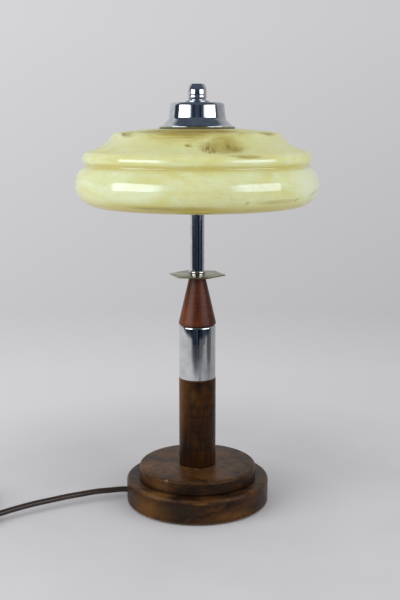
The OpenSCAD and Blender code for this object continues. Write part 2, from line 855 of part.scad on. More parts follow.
module switch_base() {
    color("#4a2a16") at_switch() difference() {
        union() {
            linear_extrude(switch_bevel) switch_plan(switch_bevel);
            translate([0, 0, switch_bevel]) linear_extrude(switch_low - switch_bevel) switch_plan(0);
        }
        difference() {
            translate([0, 0, switch_wall]) linear_extrude(switch_low) switch_plan(switch_wall);
            at_switch_screws() cylinder(r = boss_r, h = switch_low + eps);
        }
        at_switch_screws() translate([0, 0, -eps]) cylinder(r = switch_screw_r + seat_fit, h = switch_low + 2 * eps);
        at_switch_screws() translate([0, 0, -eps]) cylinder(r = switch_head_r + seat_fit, h = switch_head_h + eps);
    }
}

module switch_cover() {
    top = switch_low + switch_high;
    win = [rocker_l + 2 * rocker_gap, rocker_w + rocker_gap];
    ear_y = rocker_w / 2 + ear_gap;
    color("#4a2a16") at_switch() difference() {
        union() {
            difference() {
                union() {
                    translate([0, 0, switch_low]) linear_extrude(switch_high - switch_bevel) switch_plan(0);
                    translate([0, 0, top - switch_bevel]) linear_extrude(switch_bevel) switch_plan(switch_bevel);
                }
                translate([0, 0, switch_low - eps]) linear_extrude(switch_high - switch_wall + eps)
                    switch_plan(switch_wall);
            }
            for (s = [-1, 1]) translate([-ear_w / 2, s * (ear_y + ear_t / 2) - ear_t / 2, pivot_z - ear_w / 2])
                cube([ear_w, ear_t, top - switch_wall / 2 - pivot_z + ear_w / 2]);
            at_switch_screws() translate([0, 0, switch_low]) cylinder(r = boss_r, h = switch_high - switch_wall / 2);
        }
        translate([-win[0] / 2, -win[1] / 2, top - switch_wall - eps]) cube([win[0], win[1], switch_wall + 2 * eps]);
        translate([0, 0, pivot_z]) rotate([90, 0, 0]) cylinder(r = pivot_r + thread_fit, h = pivot_l + 2 * eps, center = true);
        at_switch_screws() translate([0, 0, switch_low - eps])
            cylinder(r = switch_screw_r + thread_fit, h = switch_high - switch_wall);
    }
}

// Rocker at rest with its far end up
module switch_rocker() {
    half = rocker_l / 2;
    color("#1c1512") at_switch() translate([0, 0, pivot_z]) rotate([0, -rocker_tilt, 0]) difference() {
        rotate([90, 0, 0]) linear_extrude(rocker_w, center = true) polygon([
            [-half, rocker_rise], [0, rocker_dip], [half, rocker_rise], [half - 0.6, -rocker_belly / 2],
            [rocker_belly, -rocker_belly], [-rocker_belly, -rocker_belly], [0.6 - half, -rocker_belly / 2]
        ]);
        rotate([90, 0, 0]) cylinder(r = pivot_r + turn_fit, h = rocker_w + 2 * eps, center = true);
    }
}

module switch_pin() {
    color("silver") at_switch() translate([0, 0, pivot_z]) rotate([90, 0, 0])
        cylinder(r = pivot_r, h = pivot_l, center = true);
}

module switch_screws() {
    color("silver") at_switch() at_switch_screws() union() {
        translate([0, 0, 0.2]) cylinder(r = switch_head_r, h = switch_head_h - 0.2);
        translate([0, 0, switch_head_h]) cylinder(r = switch_screw_r, h = switch_low + 3 - switch_head_h);
    }
}

module switch_terminals() {
    color("goldenrod") at_switch() for (s = [-1, 1])
        translate([s * terminal_x - terminal_size[0] / 2, -terminal_size[1] / 2, switch_wall]) cube(terminal_size);
}

// Two-pin plug lying flat beside the coil
module plug_section(w) {
    c = plug_cut;
    polygon([
        [-w / 2 + c, -plug_t / 2], [w / 2 - c, -plug_t / 2], [w / 2, -plug_t / 2 + c], [w / 2, plug_t / 2 - c],
        [w / 2 - c, plug_t / 2], [-w / 2 + c, plug_t / 2], [-w / 2, plug_t / 2 - c], [-w / 2, -plug_t / 2 + c]
    ]);
}

module at_plug(y) {
    translate(plug_at + [0, y, 0]) rotate([-90, 0, 0]) children();
}

module plug_body() {
    color("#1c1512") difference() {
        union() {
            at_plug(boot_l + plug_l - plug_front) linear_extrude(plug_front) plug_section(plug_w);
            hull() {
                at_plug(boot_l) linear_extrude(seat_fit) plug_section(plug_back_w);
                at_plug(boot_l + plug_l - plug_front - seat_fit) linear_extrude(seat_fit) plug_section(plug_w);
            }
        }
        for (s = [-1, 1]) translate([s * pin_gap / 2, 0, 0]) at_plug(boot_l + plug_l - pin_root - seat_fit)
            cylinder(r = pin_r + thread_fit, h = pin_root + eps);
    }
}

// Ribbed boot that takes the cord into the plug
module plug_boot() {
    step = boot_l / boot_rings;
    fall = (boot_r - boot_end_r) / boot_rings;
    color("#1c1512") at_plug(0) rotate_extrude() polygon(concat(
        [[0, 0]],
        [for (i = [0:boot_rings - 1]) each [
            [boot_end_r + fall * i, step * i], [boot_end_r + fall * (i + 1), step * (i + 0.7)],
            [boot_end_r + fall * (i + 1) - boot_groove, step * (i + 0.7)],
            [boot_end_r + fall * (i + 1) - boot_groove, step * (i + 1)]
        ]],
        [[0, boot_l]]
    ));
}

module plug_pins() {
    color("silver") for (s = [-1, 1]) translate([s * pin_gap / 2, 0, 0]) at_plug(boot_l + plug_l - pin_root)
        rotate_extrude() polygon([
            [0, 0], [pin_r, 0], [pin_r, pin_root + pin_l - pin_tip],
            [pin_r - pin_tip, pin_root + pin_l], [0, pin_root + pin_l]
        ]);
}

felt_pad();
base_lower_disc();
base_upper_disc();
base_screws();
rod_washer();
rod_nut();
through_rod();
cord_clamp();
clamp_screws();
terminal_block();
cord_inner();
core_ends();
lamp_wires();
column();
sleeve();
cone();
hex_plate();
tube_collar();
stem_tube();
cluster_body();
holder_nipples();
nipple_nuts();
holder_left();
holder_right();
contacts_left();
contacts_right();
bulb_left_cap();
bulb_left_glass();
bulb_right_cap();
bulb_right_glass();
finial_rod();
riser_tube();
shade_seat();
lower_gasket();
shade();
upper_gasket();
bell_cap();
finial();
cord_run();
switch_base();
switch_cover();
switch_rocker();
switch_pin();
switch_screws();
switch_terminals();
cord_link();
cord_coil();
cord_tail();
cord_tie();
plug_body();
plug_boot();
plug_pins();
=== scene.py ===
"""Dressed table lamp: stepped wooden base, wood and metal upright, marbled glass shade and a mains lead.

Metres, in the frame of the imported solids: the origin is under the middle of the base, +Z is up, the
front looks along -Y and the lead leaves to -X. Sizes in the classes are millimetres.
"""

import logging
import math
from dataclasses import dataclass
from enum import Enum
from functools import partial
from typing import Any, Callable, Sequence

import bpy
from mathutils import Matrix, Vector


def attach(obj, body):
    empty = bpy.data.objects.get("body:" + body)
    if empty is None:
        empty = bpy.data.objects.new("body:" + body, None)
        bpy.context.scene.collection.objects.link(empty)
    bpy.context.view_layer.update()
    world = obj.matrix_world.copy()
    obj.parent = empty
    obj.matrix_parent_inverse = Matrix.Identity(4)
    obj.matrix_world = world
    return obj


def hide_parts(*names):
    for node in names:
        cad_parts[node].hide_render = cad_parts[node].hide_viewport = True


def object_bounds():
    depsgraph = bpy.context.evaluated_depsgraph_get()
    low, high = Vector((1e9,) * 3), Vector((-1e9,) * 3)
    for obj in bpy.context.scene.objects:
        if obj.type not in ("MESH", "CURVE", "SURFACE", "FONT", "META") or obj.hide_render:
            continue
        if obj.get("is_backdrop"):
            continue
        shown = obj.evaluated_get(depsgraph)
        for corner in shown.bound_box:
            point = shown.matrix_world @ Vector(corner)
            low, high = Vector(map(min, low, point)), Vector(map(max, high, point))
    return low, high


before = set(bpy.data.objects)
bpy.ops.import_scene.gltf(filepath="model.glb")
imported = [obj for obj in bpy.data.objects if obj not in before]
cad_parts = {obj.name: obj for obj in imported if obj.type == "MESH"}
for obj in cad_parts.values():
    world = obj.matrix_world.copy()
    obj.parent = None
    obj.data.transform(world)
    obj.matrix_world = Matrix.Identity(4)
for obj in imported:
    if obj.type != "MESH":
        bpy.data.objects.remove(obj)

logging.basicConfig(level=logging.INFO, format="%(name)s: %(message)s")
log = logging.getLogger("lamp")

MM = 0.001
# The shortest step of a profile in millimetres, and the distance in metres at which points merge
SHORTEST = 1e-4
MERGED = 2e-6
Profile = list[tuple[float, float]]
Spot = tuple[float, float, float]
Sockets = dict[int | str, Any]
Put = Callable[..., bpy.types.Node]
# Settings that many nodes share: a range with soft ends, and a mix of two colours
SOFT = {"interpolation_type": "SMOOTHSTEP"}
COLOURS = {"data_type": "RGBA"}


class Grain(Enum):
    """Way the grain runs in a wooden piece."""

    ACROSS = "across"
    UPRIGHT = "upright"


class Stroke(Enum):
    """Way the strokes of a streak run."""

    UPRIGHT = "up the glass"
    LEVEL = "along the glass"


class Side(Enum):
    """Side of the lamp that a piece is on."""

    LEFT = -1
    RIGHT = 1


def linear(code: str) -> tuple[float, float, float, float]:
    """Turn an sRGB hex colour into linear values.

    Args:
        code: the colour as #rrggbb.

    Returns:
        Red, green, blue and an alpha of 1.
    """
    parts = [int(code[i : i + 2], 16) / 255 for i in (1, 3, 5)]
    red, green, blue = [c / 12.92 if c <= 0.04045 else ((c + 0.055) / 1.055) ** 2.4 for c in parts]
    return red, green, blue, 1.0


def per(size: float) -> float:
    """Give the texture scale at which a pattern repeats about every so many millimetres."""
    return 1.0 / (size * MM)


def metres(spot: Sequence[float]) -> list[float]:
    """Turn millimetres into metres."""
    return [v * MM for v in spot]


def add(
    tree: bpy.types.NodeTree,
    kind: str,
    links: Sockets | Sequence[Any] = (),
    stops: Sequence[tuple[float, str]] = (),
    **settings: Any,
) -> bpy.types.Node:
    """Add a node with its settings and links.

    Args:
        tree: the node tree that gets the node.
        kind: the node's type without its prefix.
        links: what goes into the sockets, in order or by name or number: a node, whose first live
            output is linked, one of a node's outputs, or a value to set.
        stops: places and hex colours of a colour ramp.
        settings: properties of the node itself.

    Returns:
        The new node.
    """
    node = tree.nodes.new("ShaderNode" + kind)
    for name, value in settings.items():
        setattr(node, name, value)
    for key, value in links.items() if isinstance(links, dict) else enumerate(links):
        if isinstance(value, bpy.types.Node):
            value = next(out for out in value.outputs if out.enabled)
        if isinstance(value, bpy.types.NodeSocket):
            tree.links.new(value, node.inputs[key])
        else:
            node.inputs[key].default_value = value
    for i, (place, code) in enumerate(stops):
        ramp = node.color_ramp.elements
        stop = ramp[i] if i < 2 else ramp.new(place)
        stop.position = place
        stop.color = linear(code)
    return node


@dataclass(frozen=True)
class Finish:
    """A surface of a real material, known by its name."""

    name: str

    def material(self) -> bpy.types.Material:
        """Give the finish's material, made at its first use.

        Returns:
            The material, shared by every piece with this finish.
        """
        made = bpy.data.materials.get(self.name)
        if made is None:
            made = bpy.data.materials.new(self.name)
            made.use_nodes = True
            tree = made.node_tree
            tree.nodes.clear()
            shader = add(tree, "BsdfPrincipled", self.paint(partial(add, tree)))
            add(tree, "OutputMaterial", {"Surface": shader})
        return made

    def paint(self, put: Put) -> Sockets:
        """Make the finish's patterns.

        Args:
            put: adds a node to the finish's tree.

        Returns:
            What goes into the shader's sockets.
        """
        raise NotImplementedError


@dataclass(frozen=True)
class Metal(Finish):
    """Bare or plated metal: mirror reflections, with dull patches and fine wiping marks."""

    bright: str
    dull: str
    smooth: float
    rough: float
    patch: float = 9.0
    wipe: float = 0.5
    wipe_length: float = 14.0
    wave: float = 0.03

    def paint(self, put: Put) -> Sockets:
        """Make colour patches, uneven gloss and a slight waviness.

        Args:
            put: adds a node to the finish's tree.

        Returns:
            What goes into the shader's sockets.
        """
        here = put("TexCoord").outputs["Object"]
        patches = put("TexNoise", {"Vector": here, "Scale": per(self.patch), "Detail": 4.0, "Roughness": 0.6})
        tone = put("ValToRGB", [patches], [(0.32, self.dull), (0.62, self.bright)])
        # Wiping marks run round the piece; they are drawn coarser than real ones, or they would not show
        along, across = per(self.wipe_length), per(self.wipe)
        drawn = put("Mapping", {"Vector": here, "Scale": (along, along, across)})
        wiped = put("TexNoise", {"Vector": drawn, "Scale": 1.0, "Detail": 3.0})
        both = put("Math", [patches, wiped], operation="MULTIPLY")
        gloss = put("MapRange", [both, 0.12, 0.38, self.rough, self.smooth])
        slow = put("TexNoise", {"Vector": here, "Scale": per(self.patch * 1.6), "Detail": 1.0})
        bump = put("Bump", {"Strength": self.wave, "Distance": 2 * MM, "Height": slow})
        return {"Base Color": tone, "Roughness": gloss, "Normal": bump, "Metallic": 1.0}


@dataclass(frozen=True)
class Plastic(Finish):
    """Moulded plastic or rubber: one colour with faint flow marks and a fine moulded grain."""

    colour: str
    shade: str
    rough: float
    grain: float = 0.6
    depth: float = 0.12
    flow: float = 16.0

    def paint(self, put: Put) -> Sockets:
        """Make flow marks, uneven gloss and the moulded grain.

        Args:
            put: adds a node to the finish's tree.

        Returns:
            What goes into the shader's sockets.
        """
        here = put("TexCoord").outputs["Object"]
        flow = put("TexNoise", {"Vector": here, "Scale": per(self.flow), "Detail": 4.0, "Distortion": 0.8})
        tone = put("ValToRGB", [flow], [(0.3, self.shade), (0.68, self.colour)])
        gloss = put("MapRange", [flow, 0.3, 0.7, self.rough * 1.25, self.rough])
        grain = put("TexNoise", {"Vector": here, "Scale": per(self.grain), "Detail": 2.0})
        bump = put("Bump", {"Strength": self.depth, "Distance": 0.3 * MM, "Height": grain})
        return {"Base Color": tone, "Roughness": gloss, "Normal": bump, "IOR": 1.48}


@dataclass(frozen=True)
class Fibre(Finish):
    """Felt, cork or fibre board: a speckled mat of fibres or grains that takes no gloss."""

    light: str
    dark: str
    fleck: float
    depth: float = 0.6
    sheen: float = 0.0

    def paint(self, put: Put) -> Sockets:
        """Make flecks and a rough surface.

        Args:
            put: adds a node to the finish's tree.

        Returns:
            What goes into the shader's sockets.
        """
        here = put("TexCoord").outputs["Object"]
        flecks = put("TexVoronoi", {"Vector": here, "Scale": per(self.fleck)})
        fine = per(self.fleck * 0.5)
        mat = put("TexNoise", {"Vector": here, "Scale": fine, "Detail": 5.0, "Roughness": 0.7})
        both = put("Math", [flecks, mat], operation="MULTIPLY")
        tone = put("ValToRGB", [both], [(0.12, self.dark), (0.42, self.light)])
        bump = put("Bump", {"Strength": self.depth, "Distance": 0.4 * MM, "Height": mat})
        return {"Base Color": tone, "Normal": bump, "Roughness": 0.92, "Sheen Weight": self.sheen}


@dataclass(frozen=True)
class Woven(Finish):
    """Flat woven tape: threads that cross over and under."""

    light: str
    dark: str
    thread: float

    def paint(self, put: Put) -> Sockets:
        """Make crossing threads in colour and bump.

        Args:
            put: adds a node to the finish's tree.

        Returns:
            What goes into the shader's sockets.
        """
        here = put("TexCoord").outputs["Object"]
        # A wave repeats every 0.314 units at scale 1, so the scale comes from the thread spacing
        scale = 0.314 * per(self.thread)
        warp, weft = [
            put("TexWave", {"Vector": here, "Scale": scale}, bands_direction=way).outputs["Fac"]
            for way in ("Y", "DIAGONAL")
        ]
        weave = put("Math", [warp, weft], operation="MULTIPLY")
        tone = put("ValToRGB", [weave], [(0.05, self.dark), (0.6, self.light)])
        bump = put("Bump", {"Strength": 0.7, "Distance": 0.3 * MM, "Height": weave})
        return {"Base Color": tone, "Normal": bump, "Roughness": 0.8, "Sheen Weight": 0.2}


@dataclass(frozen=True)
class Line:
    """A line round a turned piece, by its radius and height, and how far the wear, or the grime and painted
    shade, along it reaches.
    """

    r: float
    z: float
    reach: float

    def away(self, put: Put, spun: bpy.types.Node) -> bpy.types.Node:
        """Measure how far a place, given by its radius and height, is from the line."""
        return put("VectorMath", [spun, metres((self.r, 0.0, self.z))], operation="DISTANCE")


@dataclass(frozen=True)
class Mark:
    """A place on wood that is worn or chipped, or painted with light or shade: where it is, its half sizes,
    its colour and how strong it is.
    """

    centre: Spot
    half: Spot
    colour: str
    amount: float


@dataclass(frozen=True)
class Wood(Finish):
    """Turned wood under old dark stain: worn patches, grain, lathe rings, rubbed edges, grime and painted
    shade in corners, painted top light.
    """

    dark: str
    middle: str
    warm: str
    # Colour of wood rubbed through at the edges, also used for the painted top light
    bare_wood_and_top_light: str
    grain: Grain
    patch: float = 34.0
    edges: tuple[Line, ...] = ()
    corners: tuple[Line, ...] = ()
    marks: tuple[Mark, ...] = ()
    smooth: float = 0.28
    rough: float = 0.44
    ring: float = 1.6
    polish: float = 0.2
    # Painted light: how much lighter the faces that point up are painted
    faded: float = 0.0
    figure: float = 0.75
    # Colour of the grime and painted shade in the corners
    grime_and_shade: str = "#140d08"

    def paint(self, put: Put) -> Sockets:
        """Make stain, grain, rings, wear, marks, grime and painted shade in the corners, and painted top
        light.

        Args:
            put: adds a node to the finish's tree.

        Returns:
            What goes into the shader's sockets.
        """
        across = self.grain is Grain.ACROSS
        here = put("TexCoord").outputs["Object"]
        smeared = put("Mapping", {"Vector": here, "Scale": (1.0, 1.0, 2.6 if across else 0.5)})
        blot = {"Scale": per(self.patch), "Detail": 6.0, "Roughness": 0.68, "Distortion": 0.6}
        patches = put("TexNoise", {"Vector": smeared, **blot})
        stain = put("ValToRGB", [patches], [(0.34, self.dark), (0.72, self.warm), (0.5, self.middle)])
        # Grain lines are about 1 mm wide and some centimetres long
        wide, long = per(1.1), per(26)
        lie = (long, wide, wide) if across else (wide, wide, long)
        stretched = put("Mapping", {"Vector": here, "Scale": lie})
        grain = put("TexNoise", {"Vector": stretched, "Scale": 1.0, "Detail": 4.0, "Roughness": 0.6})
        lines = put("ValToRGB", [grain], [(0.3, "#8c8c8c"), (0.6, "#ffffff")])
        # The lathe's tool leaves rings, which depend only on radius and height
        place = put("SeparateXYZ", [here]).outputs
        flat = put("CombineXYZ", [place[0], place[1]])
        spun = put("CombineXYZ", {0: put("VectorMath", [flat], operation="LENGTH"), 2: place[2]})
        rings = put("TexNoise", {"Vector": spun, "Scale": per(self.ring), "Detail": 2.0})
        ringed = put("ValToRGB", [rings], [(0.35, "#a0a0a0"), (0.62, "#ffffff")])
        colour = stain
        for share, layer in ((self.figure, lines), (0.55, ringed)):
            colour = put("Mix", {0: share, 6: colour, 7: layer}, blend_type="MULTIPLY", **COLOURS)
        rub = put("TexNoise", {"Vector": here, "Scale": per(7), "Detail": 4.0, "Roughness": 0.65})
        # Each layer is how much of it shows, and its colour
        layers = []
        for edge in self.edges:
            near = put("MapRange", [edge.away(put, spun), 0.0, edge.reach * MM, 1.0, 0.0])
            worn = put("Math", [near, rub], operation="MULTIPLY")
            layers.append((put("MapRange", [worn, 0.22, 0.6, 0.0, 0.45]), self.bare_wood_and_top_light))
        # Corners where parts meet are darkened: grime, and painted shade
        for corner in self.corners:
            reach = [corner.away(put, spun), 0.0, corner.reach * MM, 0.85, 0.0]
            layers.append((put("MapRange", reach, **SOFT), self.grime_and_shade))
        for mark in self.marks:
            spot = {"Vector": here, "Location": metres(mark.centre), "Scale": metres(mark.half)}
            local = put("Mapping", spot, vector_type="TEXTURE")
            ball = put("TexGradient", [local], gradient_type="SPHERICAL").outputs["Fac"]
            ragged = put("Math", [ball, rub], operation="MULTIPLY")
            layers.append((put("MapRange", [ragged, 0.03, 0.45, 0.0, mark.amount]), mark.colour))
        # Painted light: what faces up is painted lighter in patches, as if lit from above
        facing = put("SeparateXYZ", [put("NewGeometry").outputs["Normal"]]).outputs[2]
        top_light_patches = put("MapRange", [patches, 0.36, 0.62, 0.0, self.faded])
        layers.append((put("MapRange", [facing, 0.6, 0.98, 0.0, top_light_patches]), self.bare_wood_and_top_light))
        for shown, code in layers:
            colour = put("Mix", {0: shown, 6: colour, 7: linear(code)}, **COLOURS)
        gloss = put("MapRange", [rub, 0.3, 0.7, self.smooth, self.rough])
        relief = put("Math", [grain, rings], operation="ADD")
        bump = put("Bump", {"Strength": 0.25, "Distance": 0.3 * MM, "Height": relief})
        # Old stain soaks in and leaves little gloss
        return {"Base Color": colour, "Roughness": gloss, "Normal": bump, "Specular IOR Level": self.polish}


@dataclass(frozen=True)
class Smear:
    """A streak in the glass, or painted shade or reflection on it: place, half sizes, turn, lean, number and
    way of strokes, strengths and tint.
    """

    centre: Spot
    half: Spot
    turn: float
    lean: float
    strokes: float
    cloud: float
    lines: float
    way: Stroke = Stroke.UPRIGHT
    tint: str = ""


@dataclass(frozen=True)
class MarbledGlass(Finish):
    """Pressed opal glass, fire polished, with colour stirred in: milky clouds, olive veins and streaks."""

    milk: str
    cream: str
    straw: str
    amber: str
    olive: str
    brown: str
    groove_z: float
    lip_z: float
    smears: tuple[Smear, ...]
    groove_reach: float = 5.0
    lip_reach: float = 14.0
    crown_from: float = 361.0
    crown_to: float = 385.0

    def paint(self, put: Put) -> Sockets:
        """Make clouds, veins, the amber groove and lip (the lip partly painted light), and the streaks, some
        of them painted shade and reflection.

        Args:
            put: adds a node to the finish's tree.

        Returns:
            What goes into the shader's sockets.
        """
        here = put("TexCoord").outputs["Object"]
        # The colour was stirred round the mould, so its clouds lie level
        stirred = put("Mapping", {"Vector": here, "Scale": (1.0, 1.0, 2.6)})
        swirl = {"Vector": stirred, "Detail": 3.0, "Roughness": 0.5}
        clouds = put("TexNoise", {**swirl, "Scale": per(64), "Distortion": 1.6})
        colour = put("ValToRGB", [clouds], [(0.3, self.straw), (0.74, self.milk), (0.52, self.cream)])
        height = put("SeparateXYZ", [here]).outputs[2]
        crown = put("MapRange", [height, self.crown_from * MM, self.crown_to * MM, 0.0, 0.4], **SOFT)
        # The lip and the groove are tinted amber; at the lip the tint is partly the glass's colour and partly
        # painted light shining through the thick rim
        lip_low, lip_high = self.lip_z * MM, (self.lip_z + self.lip_reach) * MM
        lip = put("MapRange", [height, lip_high, lip_low, 0.0, 0.95], **SOFT)
        offset = put("Math", [height, self.groove_z * MM], operation="SUBTRACT")
        away = put("Math", [offset], operation="ABSOLUTE")
        groove = put("MapRange", [away, 0.0, self.groove_reach * MM, 0.6, 0.0], **SOFT)
        tint_and_rim_glow = put("Math", [lip, groove], operation="MAXIMUM")
        # Thin veins wander all round the glass, and show only in some places
        vein = put("TexNoise", {**swirl, "Scale": per(46), "Distortion": 1.8})
        middle = put("Math", [vein, 0.5], operation="SUBTRACT")
        spread = put("Math", [middle], operation="ABSOLUTE")
        thin = put("MapRange", [spread, 0.0, 0.06, 1.0, 0.0], **SOFT)
        where = put("TexNoise", {"Vector": here, "Scale": per(95), "Detail": 2.0})
        patch = put("MapRange", [where, 0.52, 0.74, 0.0, 0.24])
        veins = put("Math", [thin, patch], operation="MULTIPLY")
        layers = [(crown, self.straw), (tint_and_rim_glow, self.amber), (veins, self.olive)]
        for smear in self.smears:
            layers += self.streak(put, here, smear)
        for shown, code in layers:
            colour = put("Mix", {0: shown, 6: colour, 7: linear(code)}, **COLOURS)
        ripple = put("TexNoise", {"Vector": here, "Scale": per(17), "Detail": 1.0})
        bump = put("Bump", {"Strength": 0.03, "Distance": 2 * MM, "Height": ripple})
        # Dust lies on what faces up and takes the shine off it
        facing = put("SeparateXYZ", [put("NewGeometry").outputs["Normal"]]).outputs[2]
        dull = put("MapRange", [facing, 0.75, 0.97, 0.09, 0.5])
        shine = put("MapRange", [facing, 0.75, 0.97, 0.58, 0.15])
        gloss = put("Math", [clouds, 0.05, dull], operation="MULTIPLY_ADD")
        # Heavy glass mirrors more than window glass, and light wanders some millimetres inside it
        return {
            "Base Color": colour, "Roughness": gloss, "Specular IOR Level": shine, "Normal": bump,
            "IOR": 1.7, "Specular Tint": (0.62, 0.74, 1.0, 1.0),
            "Subsurface Weight": 0.5, "Subsurface Radius": (1.0, 0.9, 0.45), "Subsurface Scale": 12 * MM,
        }

    def streak(self, put: Put, here: bpy.types.NodeSocket, smear: Smear) -> list[tuple[bpy.types.Node, str]]:
        """Make one streak: a ragged cloud with combed lines in it.

        Args:
            put: adds a node to the finish's tree.
            here: the place on the glass.
            smear: the streak.

        Returns:
            Its cloud and its lines, each as how much of it shows and its colour.
        """
        spot = {"Location": metres(smear.centre), "Scale": metres(smear.half)}
        turn = (0.0, math.radians(smear.lean), math.radians(smear.turn))
        local = put("Mapping", {"Vector": here, "Rotation": turn, **spot}, vector_type="TEXTURE")
        ball = put("TexGradient", [local], gradient_type="SPHERICAL").outputs["Fac"]
        torn = {"Scale": 1.8, "Detail": 4.0, "Roughness": 0.6, "Distortion": 0.8}
        broken = put("TexNoise", {"Vector": local, **torn})
        ragged = put("Math", [broken, 0.9, ball], operation="MULTIPLY_ADD")
        cloud = put("MapRange", [ragged, 0.5, 1.15, 0.0, smear.cloud], **SOFT)
        across = (smear.strokes, 1.0, 0.8) if smear.way is Stroke.UPRIGHT else (0.8, 1.0, smear.strokes)
        drawn = put("Mapping", {"Vector": local, "Scale": across})
        teeth = {"Scale": 1.0, "Detail": 3.0, "Roughness": 0.6, "Distortion": 0.5}
        comb = put("TexNoise", {"Vector": drawn, **teeth})
        stroke = put("MapRange", [comb, 0.5, 0.64])
        held = put("MapRange", [ragged, 0.65, 1.1, 0.0, smear.lines])
        lines = put("Math", [stroke, held], operation="MULTIPLY")
        return [(cloud, smear.tint or self.olive), (lines, self.brown)]


@dataclass(frozen=True)
class OpalGlass(Finish):
    """Blown opal glass of a bulb: milky, even and shiny, a little greyer where the coat is thin."""

    light: str
    thin: str

    def paint(self, put: Put) -> Sockets:
        """Make the uneven inner coat.

        Args:
            put: adds a node to the finish's tree.

        Returns:
            What goes into the shader's sockets.
        """
        here = put("TexCoord").outputs["Object"]
        coat = put("TexNoise", {"Vector": here, "Scale": per(11), "Detail": 3.0})
        tone = put("ValToRGB", [coat], [(0.35, self.thin), (0.6, self.light)])
        gloss = put("MapRange", [coat, 0.0, 1.0, 0.2, 0.1])
        return {"Base Color": tone, "Roughness": gloss, "IOR": 1.5}


# Chromium over nickel: a cool mirror that goes dark where it faces the room
CHROME = Metal("chrome_plate", "#ced2d8", "#b6bac2", smooth=0.03, rough=0.09)
# Buffed aluminium: whiter and softer than chrome, with drawn-out reflections
ALUMINIUM = Metal("buffed_aluminium", "#cccdd1", "#b8babf", smooth=0.04, rough=0.1, patch=14.0, wave=0.02)
# Dull chrome plate, softer than the chrome; its yellow tone is painted reflection of the shade above it
SHADE_TINTED_PLATE = Metal("dull_chrome_plate_shade_tinted", "#948f70", "#787354", smooth=0.12, rough=0.3, patch=12.0)
# Nickel: a warm grey shine. Zinc: a cold, half matt grey. Cast brass: dull yellow
NICKEL = Metal("nickel_plate", "#c3bfb2", "#a39f92", smooth=0.12, rough=0.28)
STEEL = Metal("zinc_plated_steel", "#aeb1b4", "#7d8083", smooth=0.25, rough=0.45)
BRASS = Metal("cast_brass", "#b99a56", "#87703c", smooth=0.22, rough=0.4)
# Extruded vinyl: smooth and waxy, with a long highlight
CORD_PVC = Plastic("extruded_brown_pvc", "#33241f", "#231713", rough=0.26, grain=2.5, depth=0.06)
WIRE_PVC = Plastic("extruded_wire_pvc", "#b6a46c", "#9a8a58", rough=0.42)
# Moulded and pressed plastics: even colour with a fine grain, phenolic the glossiest, rubber the dullest
IVORY = Plastic("moulded_ivory_plastic", "#d8cfb4", "#c4b998", rough=0.36)
PHENOLIC = Plastic("pressed_black_phenolic", "#1d1a18", "#110f0e", rough=0.25, grain=3.0, depth=0.05)
SWITCH_PLASTIC = Plastic(
    "moulded_brown_switch_plastic", "#3d2a22", "#2e1e18", rough=0.34, grain=0.8, depth=0.16
)
ROCKER_PLASTIC = Plastic(
    "moulded_dark_rocker_plastic", "#241712", "#18100c", rough=0.3, grain=1.4, depth=0.08
)
PLUG_RUBBER = Plastic("moulded_brown_plug_rubber", "#33241e", "#251914", rough=0.5, grain=0.9, depth=0.2)
# Felt, cork and fibre board: matt and speckled, felt with a soft edge of light
FELT = Fibre("pressed_green_felt", "#3c4632", "#262d20", fleck=1.2, depth=0.9, sheen=0.3)
GREY_FELT = Fibre("pressed_grey_felt", "#55534e", "#33322f", fleck=1.0, depth=0.7, sheen=0.2)
CORK = Fibre("cut_cork", "#b58d5e", "#7a5634", fleck=1.8)
FIBRE = Fibre("pressed_red_fibre", "#7d4a33", "#5a3322", fleck=0.9)
# Woven tape: a dark weave that shows as fine ribs
TIE = Woven("woven_black_tape", "#3a3734", "#191715", thread=0.9)
# Opal glass: an even milky white with a sharp highlight
OPAL = OpalGlass("blown_opal_glass", "#ece9df", "#dcd8ca")


def settle(piece: bpy.types.Object, body: str, slot: str, finish: Finish, *nodes: str) -> bpy.types.Object:
    """Dress a finished piece, tie it to its body and report it.

    Args:
        piece: the finished piece.
        body: the body that it moves with.
        slot: the name of a material slot; not used.
        finish: what its surface is.
        nodes: the solids that it stands for.

    Returns:
        The same piece.
    """
    piece.data.materials.clear()
    piece.data.materials.append(finish.material())
    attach(piece, body)
    if nodes:
        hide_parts(*nodes)
    log.info("%s rides on %s in %s", piece.name, body, finish.name)
    return piece


def deselect() -> None:
    """Leave edit mode and select nothing."""
    if bpy.context.object and bpy.context.object.mode != "OBJECT":
        bpy.ops.object.mode_set(mode="OBJECT")
    bpy.ops.object.select_all(action="DESELECT")


def take_up(piece: bpy.types.Object) -> None:
    """Select one piece alone and make it the active one.

    Args:
        piece: the piece to work on.
    """
    deselect()
    piece.select_set(True)
    bpy.context.view_layer.objects.active = piece


def arc(centre: Sequence[float], radius: float, start: float, end: float, count: int) -> Profile:
    """Give points along an arc of a profile.

    Args:
        centre: radius and height of the arc's centre.
        radius: the arc's own radius.
        start: angle of the first point, in degrees.
        end: angle of the last point, in degrees.
        count: number of steps.

    Returns:
        The points, both ends among them.
    """
    turns = [math.radians(start + (end - start) * i / count) for i in range(count + 1)]
    return [(centre[0] + radius * math.cos(t), centre[1] + radius * math.sin(t)) for t in turns]


def unit(degrees: float) -> Vector:
    """Give the direction of an angle in a profile."""
    return Vector((math.cos(math.radians(degrees)), math.sin(math.radians(degrees))))


